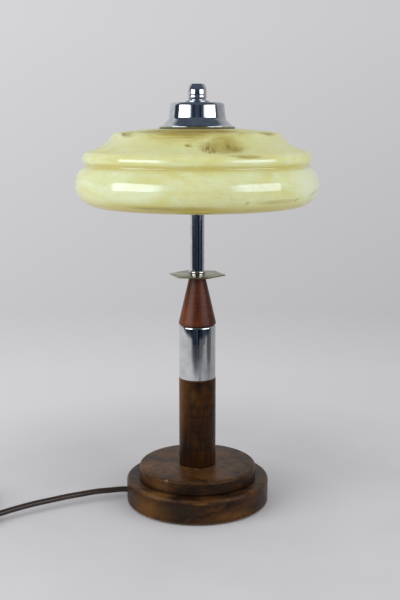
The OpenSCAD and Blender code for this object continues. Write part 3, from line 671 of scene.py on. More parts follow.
def turned(name: str, profile: Profile, steps: int = 128, sharp: float = 38.0) -> bpy.types.Object:
    """Turn a profile about the Z axis, as on a lathe.

    Args:
        name: the piece's name.
        profile: radius and height of its points in millimetres; a closed one ends where it starts.
        steps: number of steps round the axis.
        sharp: edges that turn more than this many degrees stay crisp.

    Returns:
        The turned piece, at the origin.
    """
    deselect()
    bpy.ops.mesh.primitive_plane_add(size=MM)
    piece = bpy.context.object
    piece.name = name
    bpy.ops.object.mode_set(mode="EDIT")
    bpy.ops.mesh.select_mode(type="VERT")
    bpy.ops.mesh.select_all(action="SELECT")
    bpy.ops.mesh.merge(type="CENTER")
    bpy.ops.transform.translate(value=(profile[0][0] * MM, 0.0, profile[0][1] * MM))
    for (r0, z0), (r1, z1) in zip(profile, profile[1:]):
        if math.hypot(r1 - r0, z1 - z0) > SHORTEST:
            move = {"value": ((r1 - r0) * MM, 0.0, (z1 - z0) * MM)}
            bpy.ops.mesh.extrude_region_move(TRANSFORM_OT_translate=move)
    bpy.ops.mesh.select_all(action="SELECT")
    bpy.ops.mesh.spin(steps=steps, angle=2 * math.pi, center=(0, 0, 0), axis=(0, 0, 1))
    bpy.ops.mesh.select_all(action="SELECT")
    bpy.ops.mesh.remove_doubles(threshold=MERGED)
    bpy.ops.mesh.normals_make_consistent(inside=False)
    bpy.ops.object.mode_set(mode="OBJECT")
    bpy.ops.object.shade_smooth_by_angle(angle=math.radians(sharp))
    return piece


def select_where(piece: bpy.types.Object, test: Callable[[Any], bool], kind: str = "VERT") -> None:
    """Select the parts of a piece that pass a test, and go on in edit mode.

    Args:
        piece: the piece, which is the active object.
        test: takes a vertex, edge or face and says whether to select it.
        kind: VERT, EDGE or FACE.
    """
    bpy.ops.object.mode_set(mode="EDIT")
    bpy.ops.mesh.select_mode(type=kind)
    bpy.ops.mesh.select_all(action="DESELECT")
    bpy.ops.object.mode_set(mode="OBJECT")
    mesh = piece.data
    for part in {"VERT": mesh.vertices, "EDGE": mesh.edges, "FACE": mesh.polygons}[kind]:
        part.select = bool(test(part))
    bpy.ops.object.mode_set(mode="EDIT")


def apply_modifier(piece: bpy.types.Object, kind: str, **settings: Any) -> None:
    """Add a modifier with its settings and apply it.

    Args:
        piece: the piece that gets it.
        kind: the modifier's type.
        settings: its properties.
    """
    take_up(piece)
    bpy.ops.object.modifier_add(type=kind)
    modifier = piece.modifiers[-1]
    for name, value in settings.items():
        setattr(modifier, name, value)
    bpy.ops.object.modifier_apply(modifier=modifier.name)


@dataclass(frozen=True)
class Gloom:
    """A dark part of the room that metal mirrors.

    It stands at an azimuth, in degrees from the camera. At the height low it reaches out to where the
    cosine from there is narrow, at the height high to where it is wide. A cosine over 1 is nowhere.
    """

    azimuth: float
    low: float
    narrow: float
    high: float
    wide: float
    soft: float
    depth: float


@dataclass
class Studio:
    """Camera, soft boxes, surroundings and the pale table."""

    lens: float = 57.18
    eye: Spot = (2.8, -988.0, 401.4)
    pitch: float = 10.39
    aim_z: float = 340.0
    box_distance: float = 1050.0
    box_wide: float = 1100.0
    box_high: float = 540.0
    box_azimuth: float = 51.2
    box_height: float = 8.8
    box_fade: float = 0.36
    left_watts: float = 9.5
    right_watts: float = 7.4
    table_r: float = 700.0
    table_drop: float = 0.1
    fade_from: float = 160.0
    fade_to: float = 460.0
    horizon: float = -0.19
    glooms: tuple[Gloom, ...] = (
        Gloom(0.0, -0.195, 1.1, -0.158, -0.04, 0.12, 1.0),
        Gloom(-9.0, -0.06, 1.1, 0.06, -0.15, 0.08, 1.0),
        Gloom(-8.0, -0.264, 1.06, -0.236, 0.885, 0.08, 1.0),
        Gloom(15.0, -0.246, 1.0, -0.214, 0.81, 0.04, 0.78),
        Gloom(78.0, -0.256, 1.02, -0.238, 0.961, 0.03, 0.78),
    )

    def set_camera(self) -> None:
        """Put the camera where the picture was taken from."""
        deselect()
        tilt = (math.radians(90 - self.pitch), 0.0, 0.0)
        bpy.ops.object.camera_add(location=metres(self.eye), rotation=tilt)
        camera = bpy.context.object
        camera.name = "camera"
        camera.data.lens = self.lens
        camera.data.clip_start = 0.01
        bpy.context.scene.camera = camera

    def set_lights(self) -> None:
        """Stand a wide soft box on each side of the camera, the left one stronger, each dimming towards one
        end.
        """
        aim = Vector((0, 0, self.aim_z * MM))
        for side, watts, inner in ((Side.LEFT, self.left_watts, 1.0), (Side.RIGHT, self.right_watts, 0.0)):
            turn, rise = math.radians(self.box_azimuth) * side.value, math.radians(self.box_height)
            way = Vector((math.sin(turn) * math.cos(rise), -math.cos(turn) * math.cos(rise), math.sin(rise)))
            deselect()
            bpy.ops.object.light_add(type="AREA", location=aim + way * self.box_distance * MM)
            lamp = bpy.context.object
            lamp.name = f"soft_box_{side.name.lower()}"
            lamp.rotation_euler = way.to_track_quat("Z", "Y").to_euler()
            lamp.data.shape = "RECTANGLE"
            lamp.data.size = self.box_wide * MM
            lamp.data.size_y = self.box_high * MM
            lamp.data.energy = watts
            lamp.visible_camera = False
            lamp.data.use_nodes = True
            lamp.data.node_tree.nodes.clear()
            put = partial(add, lamp.data.node_tree)
            across = put("SeparateXYZ", [put("NewGeometry").outputs["Parametric"]])
            fade = put("MapRange", [across, inner, inner + side.value * self.box_fade], **SOFT)
            glow = put("Emission", {"Strength": fade})
            put("OutputLight", {"Surface": glow})

    def set_world(self) -> None:
        """Surround the lamp with pale paper behind and beside it, and a dim room behind the camera."""
        scene = bpy.context.scene
        scene.world = scene.world or bpy.data.worlds.new("studio")
        scene.world.use_nodes = True
        scene.world.node_tree.nodes.clear()
        put = partial(add, scene.world.node_tree)
        way = put("TexCoord").outputs["Generated"]
        place = put("SeparateXYZ", [way]).outputs
        height = place[2]
        # What the camera sees: pale paper, darkest a little below eye level and lighter to the left
        upper = put("MapRange", [height, self.horizon, 0.1, 0.53, 0.63])
        lower = put("MapRange", [height, self.horizon, -0.25, 0.53, 0.6])
        paper = put("Math", [upper, lower], operation="MAXIMUM")
        slope = put("Math", [place[0], -0.2, paper], operation="MULTIPLY_ADD")
        seen = put("Background", {"Color": (0.993, 0.99, 1.02, 1.0), "Strength": slope})
        # What metal and glass mirror: a dim room in front and overhead, the pale table low down, paper behind
        glossy = put("Background", {"Color": self.mirrored(put, way, place), "Strength": 1.0})
        # Soft light: from the ceiling, and from the rest of the pale table below
        overhead = put("MapRange", [height, 0.0, 0.9, 0.12, 0.94])
        under = put("MapRange", [height, -0.05, -0.5, 0.12, 0.8])
        both = put("Math", [overhead, under], operation="MAXIMUM")
        ambient = put("Background", {"Color": linear("#fbfbff"), "Strength": both})
        path = put("LightPath").outputs
        shiny = put("Math", [path["Is Glossy Ray"], path["Is Transmission Ray"]], operation="MAXIMUM")
        inner = put("MixShader", [shiny, ambient, glossy])
        outer = put("MixShader", [path["Is Camera Ray"], inner, seen])
        put("OutputWorld", {"Surface": outer})

    def mirrored(
        self, put: Put, way: bpy.types.NodeSocket, place: Sequence[bpy.types.NodeSocket]
    ) -> bpy.types.Node:
        """Make the surroundings that metal and glass mirror.

        Args:
            put: adds a node to the world's tree.
            way: the direction of view.
            place: its three parts.

        Returns:
            The node with their colour.
        """
        height = place[2]
        level = put("VectorMath", [way, (1.0, 1.0, 0.0)], operation="MULTIPLY")
        flat = put("VectorMath", [level], operation="NORMALIZE")
        ceiling = put("MapRange", [height, 0.3, 0.55], **SOFT)
        ahead = put("VectorMath", [flat, (-0.156, -0.988, 0.0)], operation="DOT_PRODUCT")
        near = put("MapRange", [ahead, -0.28, -0.08])
        zenith = put("MapRange", [height, 0.62, 0.8], **SOFT)
        over = put("Math", [near, zenith], operation="MAXIMUM")
        room = put("Math", [ceiling, over], operation="MULTIPLY")
        for gloom in self.glooms:
            turn = math.radians(gloom.azimuth)
            centre = (math.sin(turn), -math.cos(turn), 0.0)
            facing = put("VectorMath", [flat, centre], operation="DOT_PRODUCT")
            edge = put("MapRange", [height, gloom.low, gloom.high, gloom.narrow, gloom.wide])
            past = put("Math", [facing, edge], operation="SUBTRACT")
            dark = put("MapRange", [past, -gloom.soft, gloom.soft, 0.0, gloom.depth], **SOFT)
            room = put("Math", [room, dark], operation="MAXIMUM")
        stretched = put("Mapping", {"Vector": way, "Scale": (1.0, 1.0, 0.2)})
        clutter = put("TexNoise", {"Vector": stretched, "Scale": 3.4, "Detail": 2.0})
        lit = put("Math", [height, 0.25, clutter], operation="MULTIPLY_ADD")
        dim = put("ValToRGB", [lit], [(0.42, "#0f1723"), (0.64, "#4a5565")])
        pale = put("MapRange", [place[0], -0.9, 0.9, 0.78, 0.42])
        roof = put("Mix", {0: ceiling, 6: dim, 7: linear("#5a6370")}, **COLOURS)
        return put("Mix", {0: room, 6: pale, 7: roof}, **COLOURS)

    def lay_table(self) -> None:
        """Lay a round sheet of pale paper that fades into the surroundings."""
        deselect()
        bpy.ops.mesh.primitive_circle_add(
            vertices=96, radius=self.table_r * MM, fill_type="NGON", location=(0, 0, -self.table_drop * MM)
        )
        table = bpy.context.object
        table.name = "table"
        bpy.ops.object.transform_apply(location=True, rotation=True, scale=True)
        paper = bpy.data.materials.new("matt_white_paper")
        paper.use_nodes = True
        paper.node_tree.nodes.clear()
        put = partial(add, paper.node_tree)
        here = put("TexCoord").outputs["Object"]
        pulp = put("TexNoise", {"Vector": here, "Scale": per(120), "Detail": 2.0})
        tone = put("ValToRGB", [pulp], [(0.3, "#bebdbf"), (0.7, "#c3c2c4")])
        matt = put("BsdfDiffuse", {"Color": tone})
        far = put("VectorMath", [here], operation="LENGTH")
        fade = put("MapRange", [far, self.fade_from * MM, self.fade_to * MM], **SOFT)
        mixed = put("MixShader", [fade, matt, put("BsdfTransparent")])
        put("OutputMaterial", {"Surface": mixed})
        table.data.materials.append(paper)
        table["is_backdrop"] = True


@dataclass
class MainsLead:
    """Brown two-core lead with its in-line switch, a tied coil and a moulded two-pin plug."""

    diameter: float = 6.2
    length: float = 1800.0
    exit: Spot = (-76.5, 0.0, 10.0)
    core_share: float = 0.42
    switch_at: tuple[float, float] = (-243.0, -84.5)
    switch_turn: float = 210.0
    switch_length: float = 62.0
    switch_z: float = 7.0
    coil_at: tuple[float, float] = (-274.0, -25.0)
    coil_in: float = 27.0
    coil_step: float = 6.8
    coil_turns: int = 3
    coil_z: float = 4.1
    coil_blend: float = 90.0
    turn_points: int = 24
    tie_width: float = 6.0
    tie_wall: float = 0.6
    tie_gap: float = 0.3
    tie_round: float = 2.6
    tie_break: float = 0.15
    plug_y: float = 40.0
    plug_z: float = 6.85

    def coil(self) -> list[Spot]:
        """Wind the coil: in along the lower layer, out along the upper one.

        Returns:
            The coil's points, two dozen for each turn.
        """
        out_r = self.coil_in + self.coil_step * self.coil_turns
        lead = math.degrees(math.atan(self.coil_step / (2 * math.pi * out_r)))
        sweep = 2 * (360 * self.coil_turns + lead)
        count = math.ceil(sweep / 360 * self.turn_points)
        points = []
        for i in range(count + 1):
            along = sweep * i / count
            off = along - sweep / 2
            away = abs(off)
            if away < self.coil_blend:
                away = (off * off / self.coil_blend + self.coil_blend) / 2
            r = self.coil_in + self.coil_step * away / 360
            a = math.radians(180 + lead - along)
            t = min(1.0, max(0.0, (off + self.coil_blend) / (2 * self.coil_blend)))
            z = self.coil_z + self.coil_step * t * t * (3 - 2 * t)
            points.append((self.coil_at[0] + r * math.cos(a), self.coil_at[1] + r * math.sin(a), z))
        return points

    def route(self) -> list[tuple[Spot, float]]:
        """Lay the whole lead from the base to the plug.

        Returns:
            Points in millimetres, each with the share of the full thickness there.
        """
        d = self.diameter
        turn = math.radians(self.switch_turn)
        way = (math.cos(turn), math.sin(turn))
        half = self.switch_length / 2

        def at_switch(along: float, z: float) -> Spot:
            """Give a point on the switch's middle line."""
            return (self.switch_at[0] + way[0] * along, self.switch_at[1] + way[1] * along, z)

        coil = self.coil()
        edge_x = coil[0][0]
        end_y, end_z = coil[-1][1:]
        z = self.switch_z
        run = [
            self.exit, (self.exit[0] - d, 0.0, 10.0), (-96, -2, 9.5), (-108, -5, 9.5), (-124, -11, 9.0),
            (-140, -19, 9.0), (-157, -28, 8.5), (-173, -38, 8.5), (-189, -49, 8.0), (-202, -59, 7.5),
            at_switch(-half - d, z), at_switch(-half, z),
        ]
        # Inside the switch only the thin cores go on, low in the housing
        inside = [at_switch(-half + 9, 4.6), at_switch(0, 4.2), at_switch(half - 9, 4.6)]
        link = [
            at_switch(half, z), at_switch(half + d, z), (-286, -107, 5.5), (-299, -106, 4.0),
            (-311, -99, 3.5), (-318, -87, 3.5), (edge_x, -72, 3.5), (edge_x, -56, self.coil_z),
        ]
        tail = [
            (edge_x, end_y + 2 * d, end_z), (edge_x, 4, 10.0), (edge_x, 17, 8.5), (edge_x, 29, 7.0),
            (edge_x, self.plug_y, self.plug_z), (edge_x, self.plug_y + 8, self.plug_z),
        ]
        stretches = ((run, 1.0), (inside, self.core_share), (link + coil + tail, 1.0))
        return [(point, share) for points, share in stretches for point in points]

    def build(self) -> None:
        data = bpy.data.curves.new("mains_lead", "CURVE")
        data.dimensions = "3D"
        data.bevel_depth = self.diameter / 2 * MM
        data.bevel_resolution = 5
        data.resolution_u = 5
        data.use_fill_caps = True
        points = self.route()
        spline = data.splines.new("BEZIER")
        spline.bezier_points.add(len(points) - 1)
        for knot, (spot, thick) in zip(spline.bezier_points, points):
            knot.co = metres(spot)
            knot.handle_left_type = knot.handle_right_type = "AUTO"
            knot.radius = thick
        lead = bpy.data.objects.new("mains_lead", data)
        bpy.context.scene.collection.objects.link(lead)
        settle(lead, "stand", "cord_pvc", CORD_PVC, "cord_run", "cord_link", "cord_coil", "cord_tail")
        tie = settle(self.tie(), "stand", "tie_fabric", TIE, "cord_tie")

    def tie(self) -> bpy.types.Object:
        """Make the band round the coil: a block with rounded corners, opened at both ends and given a wall.

        Returns:
            The band.
        """
        turns = self.coil_step * self.coil_turns
        spare = 2 * self.tie_gap + 2 * self.tie_wall
        wide, high = turns + spare, self.diameter + self.coil_step + spare
        middle = (
            self.coil_at[0] + self.coil_in + turns / 2, self.coil_at[1], self.coil_z + self.coil_step / 2
        )
        deselect()
        bpy.ops.mesh.primitive_cube_add(
            size=1.0, location=metres(middle), scale=metres((wide, self.tie_width, high))
        )
        band = bpy.context.object
        band.name = "lead_tie"
        bpy.ops.object.transform_apply(location=True, rotation=True, scale=True)
        spots = band.data.vertices

        def runs_along(edge: bpy.types.MeshEdge) -> bool:
            """Say whether an edge runs along the lead."""
            return abs(spots[edge.vertices[0]].co.y - spots[edge.vertices[1]].co.y) > self.tie_width * MM / 2

        select_where(band, runs_along, "EDGE")
        bpy.ops.mesh.bevel(offset=self.tie_round * MM, segments=6, affect="EDGES")
        select_where(band, lambda face: abs(face.normal.y) > 0.9, "FACE")
        bpy.ops.mesh.delete(type="ONLY_FACE")
        bpy.ops.mesh.select_all(action="SELECT")
        bpy.ops.mesh.normals_make_consistent(inside=False)
        bpy.ops.object.mode_set(mode="OBJECT")
        apply_modifier(band, "SOLIDIFY", thickness=self.tie_wall * MM, offset=-1.0)
        apply_modifier(band, "BEVEL", width=self.tie_break * MM, segments=2, limit_method="ANGLE")
        bpy.ops.object.shade_smooth_by_angle(angle=math.radians(40))
        return band


@dataclass
class TurnedBase:
    """Felt pad and the two turned discs that carry the column."""

    felt_r: float = 72.5
    felt_t: float = 1.5
    felt_break: float = 0.4
    lower_r: float = 76.5
    lower_top: float = 26.8
    lower_rings: tuple[float, ...] = (9.0, 17.0)
    upper_r: float = 62.7
    upper_top: float = 41.2
    upper_rings: tuple[float, ...] = (44.0, 24.0)
    edge_round: float = 3.0
    foot_break: float = 0.8
    hollow_r: float = 50.0
    hollow_top: float = 13.2
    bore: float = 5.4
    socket_r: float = 14.1
    socket_deep: float = 7.1
    column_r: float = 19.6
    lead_hole_r: float = 3.5
    lead_hole_spare: float = 6.0
    lead_z: float = 10.0
    chip: Spot = (-32.3, -53.3, 40.3)
    chip_r: float = 2.0
    chip_push: Spot = (0.25, 0.4, -0.3)

    def disc_edge(self, r: float, top: float) -> Profile:
        """Give the rounded upper edge of a disc."""
        return arc((r - self.edge_round, top - self.edge_round), self.edge_round, 0, 90, 8)

    def wood(self, name: str, **details: Any) -> Wood:
        """Give the base's stained wood with the details of one disc."""
        return Wood(name, "#22160d", "#372314", "#5e3917", "#704b28", Grain.ACROSS, polish=0.13, **details)

    def build(self) -> None:
        """Press the felt and turn both discs."""
        rim = self.felt_r - self.felt_break
        pad = turned(
            "felt_foot",
            [(0, 0), (rim, 0), (self.felt_r, self.felt_break), (self.felt_r, self.felt_t), (0, self.felt_t)],
        )
        settle(pad, "stand", "felt", FELT, "felt_pad")
        self.lower_disc()
        self.upper_disc()

    def lower_disc(self) -> None:
        """Turn the lower disc with its hollow, and bore the lead's hole."""
        r, top, foot = self.lower_r, self.lower_top, self.felt_t
        disc = turned(
            "turned_lower_disc",
            [
                (self.bore, self.hollow_top), (self.hollow_r, self.hollow_top), (self.hollow_r, foot),
                (r - self.foot_break, foot), (r, foot + self.foot_break), *((r, z) for z in self.lower_rings),
                *self.disc_edge(r, top), (self.upper_r, top), (self.bore, top), (self.bore, self.hollow_top),
            ],
            steps=160,
        )
        self.bore_lead_hole(disc)
        stain = self.wood(
            "stained_turned_beech_lower",
            # Painted light on the top
            faded=0.15,
            edges=(Line(r, top, 6.0), Line(r, foot, 5.0)),
            corners=(Line(self.upper_r, top, 4.0),),
            marks=(
                Mark((2.7, -76.5, 23.8), (12.0, 5.0, 2.2), "#7a5526", 0.5),
                Mark((-9.4, -76.4, 3.6), (2.2, 3.0, 1.6), "#23190f", 0.9),
                Mark((-52.0, -57.0, 10.0), (46.0, 30.0, 18.0), "#6a461f", 0.6),
                Mark((-16.0, -75.0, 15.0), (34.0, 16.0, 12.0), "#231d18", 0.6),
                Mark((40.0, -66.0, 7.0), (40.0, 20.0, 12.0), "#64431d", 0.6),
                Mark((-44.0, -58.0, 26.8), (28.0, 18.0, 5.0), "#7d5730", 0.5),
            ),
        )
        settle(disc, "stand", "dark_wood", stain, "base_lower_disc")

    def upper_disc(self) -> None:
        """Turn the upper disc with the column's socket, and knock its chip."""
        r, top, foot = self.upper_r, self.upper_top, self.lower_top
        seat = top - self.socket_deep
        disc = turned(
            "turned_upper_disc",
            [
                (self.bore, foot), (r - self.foot_break, foot), (r, foot + self.foot_break),
                *self.disc_edge(r, top), *((ring, top) for ring in self.upper_rings),
                (self.socket_r, top), (self.socket_r, seat), (self.bore, seat), (self.bore, foot),
            ],
            steps=192,
        )
        self.knock_chip(disc)
        stain = self.wood(
            "stained_turned_beech_upper",
            # Painted light on the top
            faded=0.5,
            edges=(Line(r, top, 5.0),),
            corners=(Line(r, foot, 3.5), Line(self.column_r, top, 3.0)),
            marks=(
                Mark(self.chip, (3.0, 3.0, 1.6), "#a08058", 0.8),
                Mark((-0.9, -22.7, 41.2), (4.0, 2.0, 1.8), "#9a7468", 0.9),
                # Painted shade: the front of the top, darker than its sides and back
                Mark((4.0, -40.0, 41.7), (40.0, 26.0, 8.0), "#2c1807", 0.8),
                Mark((18.0, -22.0, 41.7), (22.0, 18.0, 8.0), "#34221a", 0.7),
                Mark((-40.0, -48.0, 33.0), (24.0, 18.0, 9.0), "#6f4c2a", 0.45),
            ),
        )
        settle(disc, "stand", "dark_wood", stain, "base_upper_disc")

    def bore_lead_hole(self, disc: bpy.types.Object) -> None:
        """Bore the hole that the lead leaves by.

        Args:
            disc: the lower disc.
        """
        deselect()
        bpy.ops.mesh.primitive_cylinder_add(
            vertices=32,
            radius=self.lead_hole_r * MM,
            depth=(self.lower_r - self.hollow_r + self.lead_hole_spare) * MM,
            location=(-(self.lower_r + self.hollow_r) / 2 * MM, 0.0, self.lead_z * MM),
            rotation=(0.0, math.pi / 2, 0.0),
        )
        drill = bpy.context.object
        apply_modifier(disc, "BOOLEAN", object=drill, operation="DIFFERENCE", solver="EXACT")
        bpy.data.objects.remove(drill)

    def knock_chip(self, disc: bpy.types.Object) -> None:
        """Knock a small chip out of a disc's top edge.

        Args:
            disc: the upper disc.
        """
        take_up(disc)
        hit = Vector(self.chip) * MM
        select_where(disc, lambda point: (point.co - hit).length < self.chip_r * MM)
        bpy.ops.transform.translate(value=metres(self.chip_push))
        bpy.ops.object.mode_set(mode="OBJECT")


@dataclass
class Upright:
    """Column, polished sleeve, red cone, six-sided plate, collar and chromed tube."""

    bore: float = 5.4
    spigot_r: float = 14.0
    spigot_z: float = 34.2
    column_r: float = 19.6
    column_z: float = 41.2
    column_rings: tuple[float, ...] = (70.0, 105.0)
    foot_break: float = 0.6
    tenon_r: float = 18.3
    edge_break: float = 0.3
    sleeve_r: float = 19.4
    sleeve_z: float = 136.9
    sleeve_rings: tuple[float, ...] = (155.0, 175.0)
    sleeve_wall: float = 1.0
    sleeve_cap: float = 1.2
    sleeve_round: float = 2.5
    cone_r: float = 19.7
    cone_z: float = 194.7
    cone_break: float = 0.9
    cone_band: float = 2.0
    cone_top_r: float = 8.1
    crease_half: float = 0.4
    crease_deep: float = 0.25
    crease_out: float = 0.1
    plate_z: float = 246.9
    plate_r: float = 29.9
    plate_t: float = 1.2
    plate_turn: float = -10.0
    circle_turn: float = 30.0
    plate_break: float = 0.3
    collar_r: float = 7.6
    collar_foot: float = 1.0
    collar_round: float = 1.4
    tube_r: float = 7.5
    tube_wall: float = 0.9
    tube_top: float = 334.4
    tube_rings: tuple[float, ...] = (275.0, 300.0)

    def build(self) -> None:
        """Make the pieces from the column up."""
        self.column()
        self.sleeve()
        self.cone()
        settle(self.plate(), "stand", "chrome", SHADE_TINTED_PLATE, "hex_plate")
        self.collar()
        self.tube()

    def column(self) -> None:
        """Turn the column with a spigot below and the sleeve's tenon above."""
        r, foot, top, tenon_top = self.column_r, self.column_z, self.sleeve_z, self.cone_z - self.sleeve_cap
        piece = turned(
            "turned_column",
            [
                (self.bore, self.spigot_z), (self.spigot_r, self.spigot_z), (self.spigot_r, foot),
                (r - self.foot_break, foot), (r, foot + self.foot_break),
                *((r, z) for z in self.column_rings), (r, top - self.edge_break), (r - self.edge_break, top),
                (self.tenon_r, top), (self.tenon_r, tenon_top), (self.bore, tenon_top),
                (self.bore, self.spigot_z),
            ],
        )
        stain = Wood(
            "stained_turned_beech_column", "#22130a", "#36200e", "#5a3412", "#7a4d22", Grain.UPRIGHT,
            patch=26.0,
            edges=(Line(r, top, 3.0),),
            corners=(Line(r, foot, 3.0),),
            marks=(
                # Painted light: the column's left side, lighter on the side that the stronger left box lights
                Mark((-17.0, -8.0, 142.0), (14.0, 18.0, 90.0), "#74481f", 0.55),
                Mark((0.0, -18.0, 42.0), (30.0, 18.0, 26.0), "#2a1303", 0.6),
                Mark((-4.0, -19.0, 120.0), (5.0, 6.0, 9.0), "#4f3a1c", 0.6),
            ),
            smooth=0.26, rough=0.4, ring=4.0, polish=0.1,
        )
        settle(piece, "stand", "dark_wood", stain, "column")

    def sleeve(self) -> None:
        """Spin the sleeve, closed at the top over the column's tenon."""
        r, foot, top, ceiling = self.sleeve_r, self.sleeve_z, self.cone_z, self.cone_z - self.sleeve_cap
        inner = r - self.sleeve_wall
        piece = turned(
            "buffed_sleeve",
            [
                (inner, foot), (r - self.edge_break, foot), (r, foot + self.edge_break),
                *((r, z) for z in self.sleeve_rings),
                *arc((r - self.sleeve_round, top - self.sleeve_round), self.sleeve_round, 0, 90, 10),
                (self.bore, top), (self.bore, ceiling), (inner, ceiling), (inner, foot),
            ],
        )
        settle(piece, "stand", "polished_aluminium", ALUMINIUM, "sleeve")

    def cone(self) -> None:
        """Turn the cone on its narrow band."""
        r, foot, top, band = self.cone_r, self.cone_z, self.plate_z, self.cone_z + self.cone_band
        piece = turned(
            "red_cone",
            [
                (self.bore, foot), (r - self.cone_break, foot),
                (r - self.edge_break, foot + self.crease_half), (r, foot + self.cone_break),
                (r, band - self.crease_half), (r - self.crease_deep, band),
                (r - self.crease_out, band + self.edge_break), ((r + self.cone_top_r) / 2, (band + top) / 2),
                (self.cone_top_r, top), (self.bore, top), (self.bore, foot),
            ],
        )
        lacquer = Wood(
            "stained_mahogany_cone", "#431f14", "#4f2618", "#622e19", "#723e23", Grain.UPRIGHT,
            patch=22.0,
            corners=(Line(self.cone_top_r, top, 3.0), Line(r, foot, 1.2)),
            # Painted light: the lower left of the cone, lighter on the side that faces the left box
            marks=(Mark((-14.0, -12.0, 200.0), (16.0, 18.0, 40.0), "#7e4422", 0.5),),
            smooth=0.26, rough=0.36, ring=3.0, polish=0.14, figure=0.4,
        )
        settle(piece, "stand", "red_wood", lacquer, "cone")

    def plate(self) -> bpy.types.Object:
        """Cut the six-sided plate and break its edges.

        Returns:
            The plate.
        """
        deselect()
        bpy.ops.mesh.primitive_circle_add(
            vertices=6,
            radius=self.plate_r * MM,
            fill_type="NGON",
            location=(0, 0, self.plate_z * MM),
            # A new circle has a corner on +Y, and the circle's turn brings one onto +X
            rotation=(0, 0, math.radians(self.plate_turn + self.circle_turn)),
        )
        plate = bpy.context.object
        plate.name = "chromed_hex_plate"
        bpy.ops.object.transform_apply(location=True, rotation=True, scale=True)
        bpy.ops.object.mode_set(mode="EDIT")
        bpy.ops.mesh.select_all(action="SELECT")
        bpy.ops.mesh.extrude_region_move(TRANSFORM_OT_translate={"value": (0, 0, self.plate_t * MM)})
        bpy.ops.mesh.select_all(action="SELECT")
        bpy.ops.mesh.normals_make_consistent(inside=False)
        bpy.ops.object.mode_set(mode="OBJECT")
        apply_modifier(plate, "BEVEL", width=self.plate_break * MM, segments=3, limit_method="ANGLE")
        bpy.ops.object.shade_smooth_by_angle(angle=math.radians(20))
        return plate

    def collar(self) -> None:
        """Turn the collar ring at the tube's foot."""
        foot = self.plate_z + self.plate_t
        step = foot + self.collar_foot
        foot_r = self.collar_r + self.collar_round / 2
        bead = arc((self.collar_r, step + self.collar_round), self.collar_round, -60, 90, 14)
        piece = turned(
            "chromed_collar",
            [(self.collar_r, foot), (foot_r, foot), (foot_r, step), *bead[1:], (self.collar_r, foot)],
        )
        settle(piece, "stand", "chrome", CHROME, "tube_collar")

    def tube(self) -> None:
        """Draw the tube from the plate to the head."""
        foot, inner = self.plate_z + self.plate_t, self.tube_r - self.tube_wall
        piece = turned(
            "chromed_tube",
            [
                (inner, foot), *((self.tube_r, z) for z in (foot, *self.tube_rings, self.tube_top)),
                (inner, self.tube_top), (inner, foot),
            ],
            steps=96,
        )
        settle(piece, "stand", "chrome", CHROME, "stem_tube")


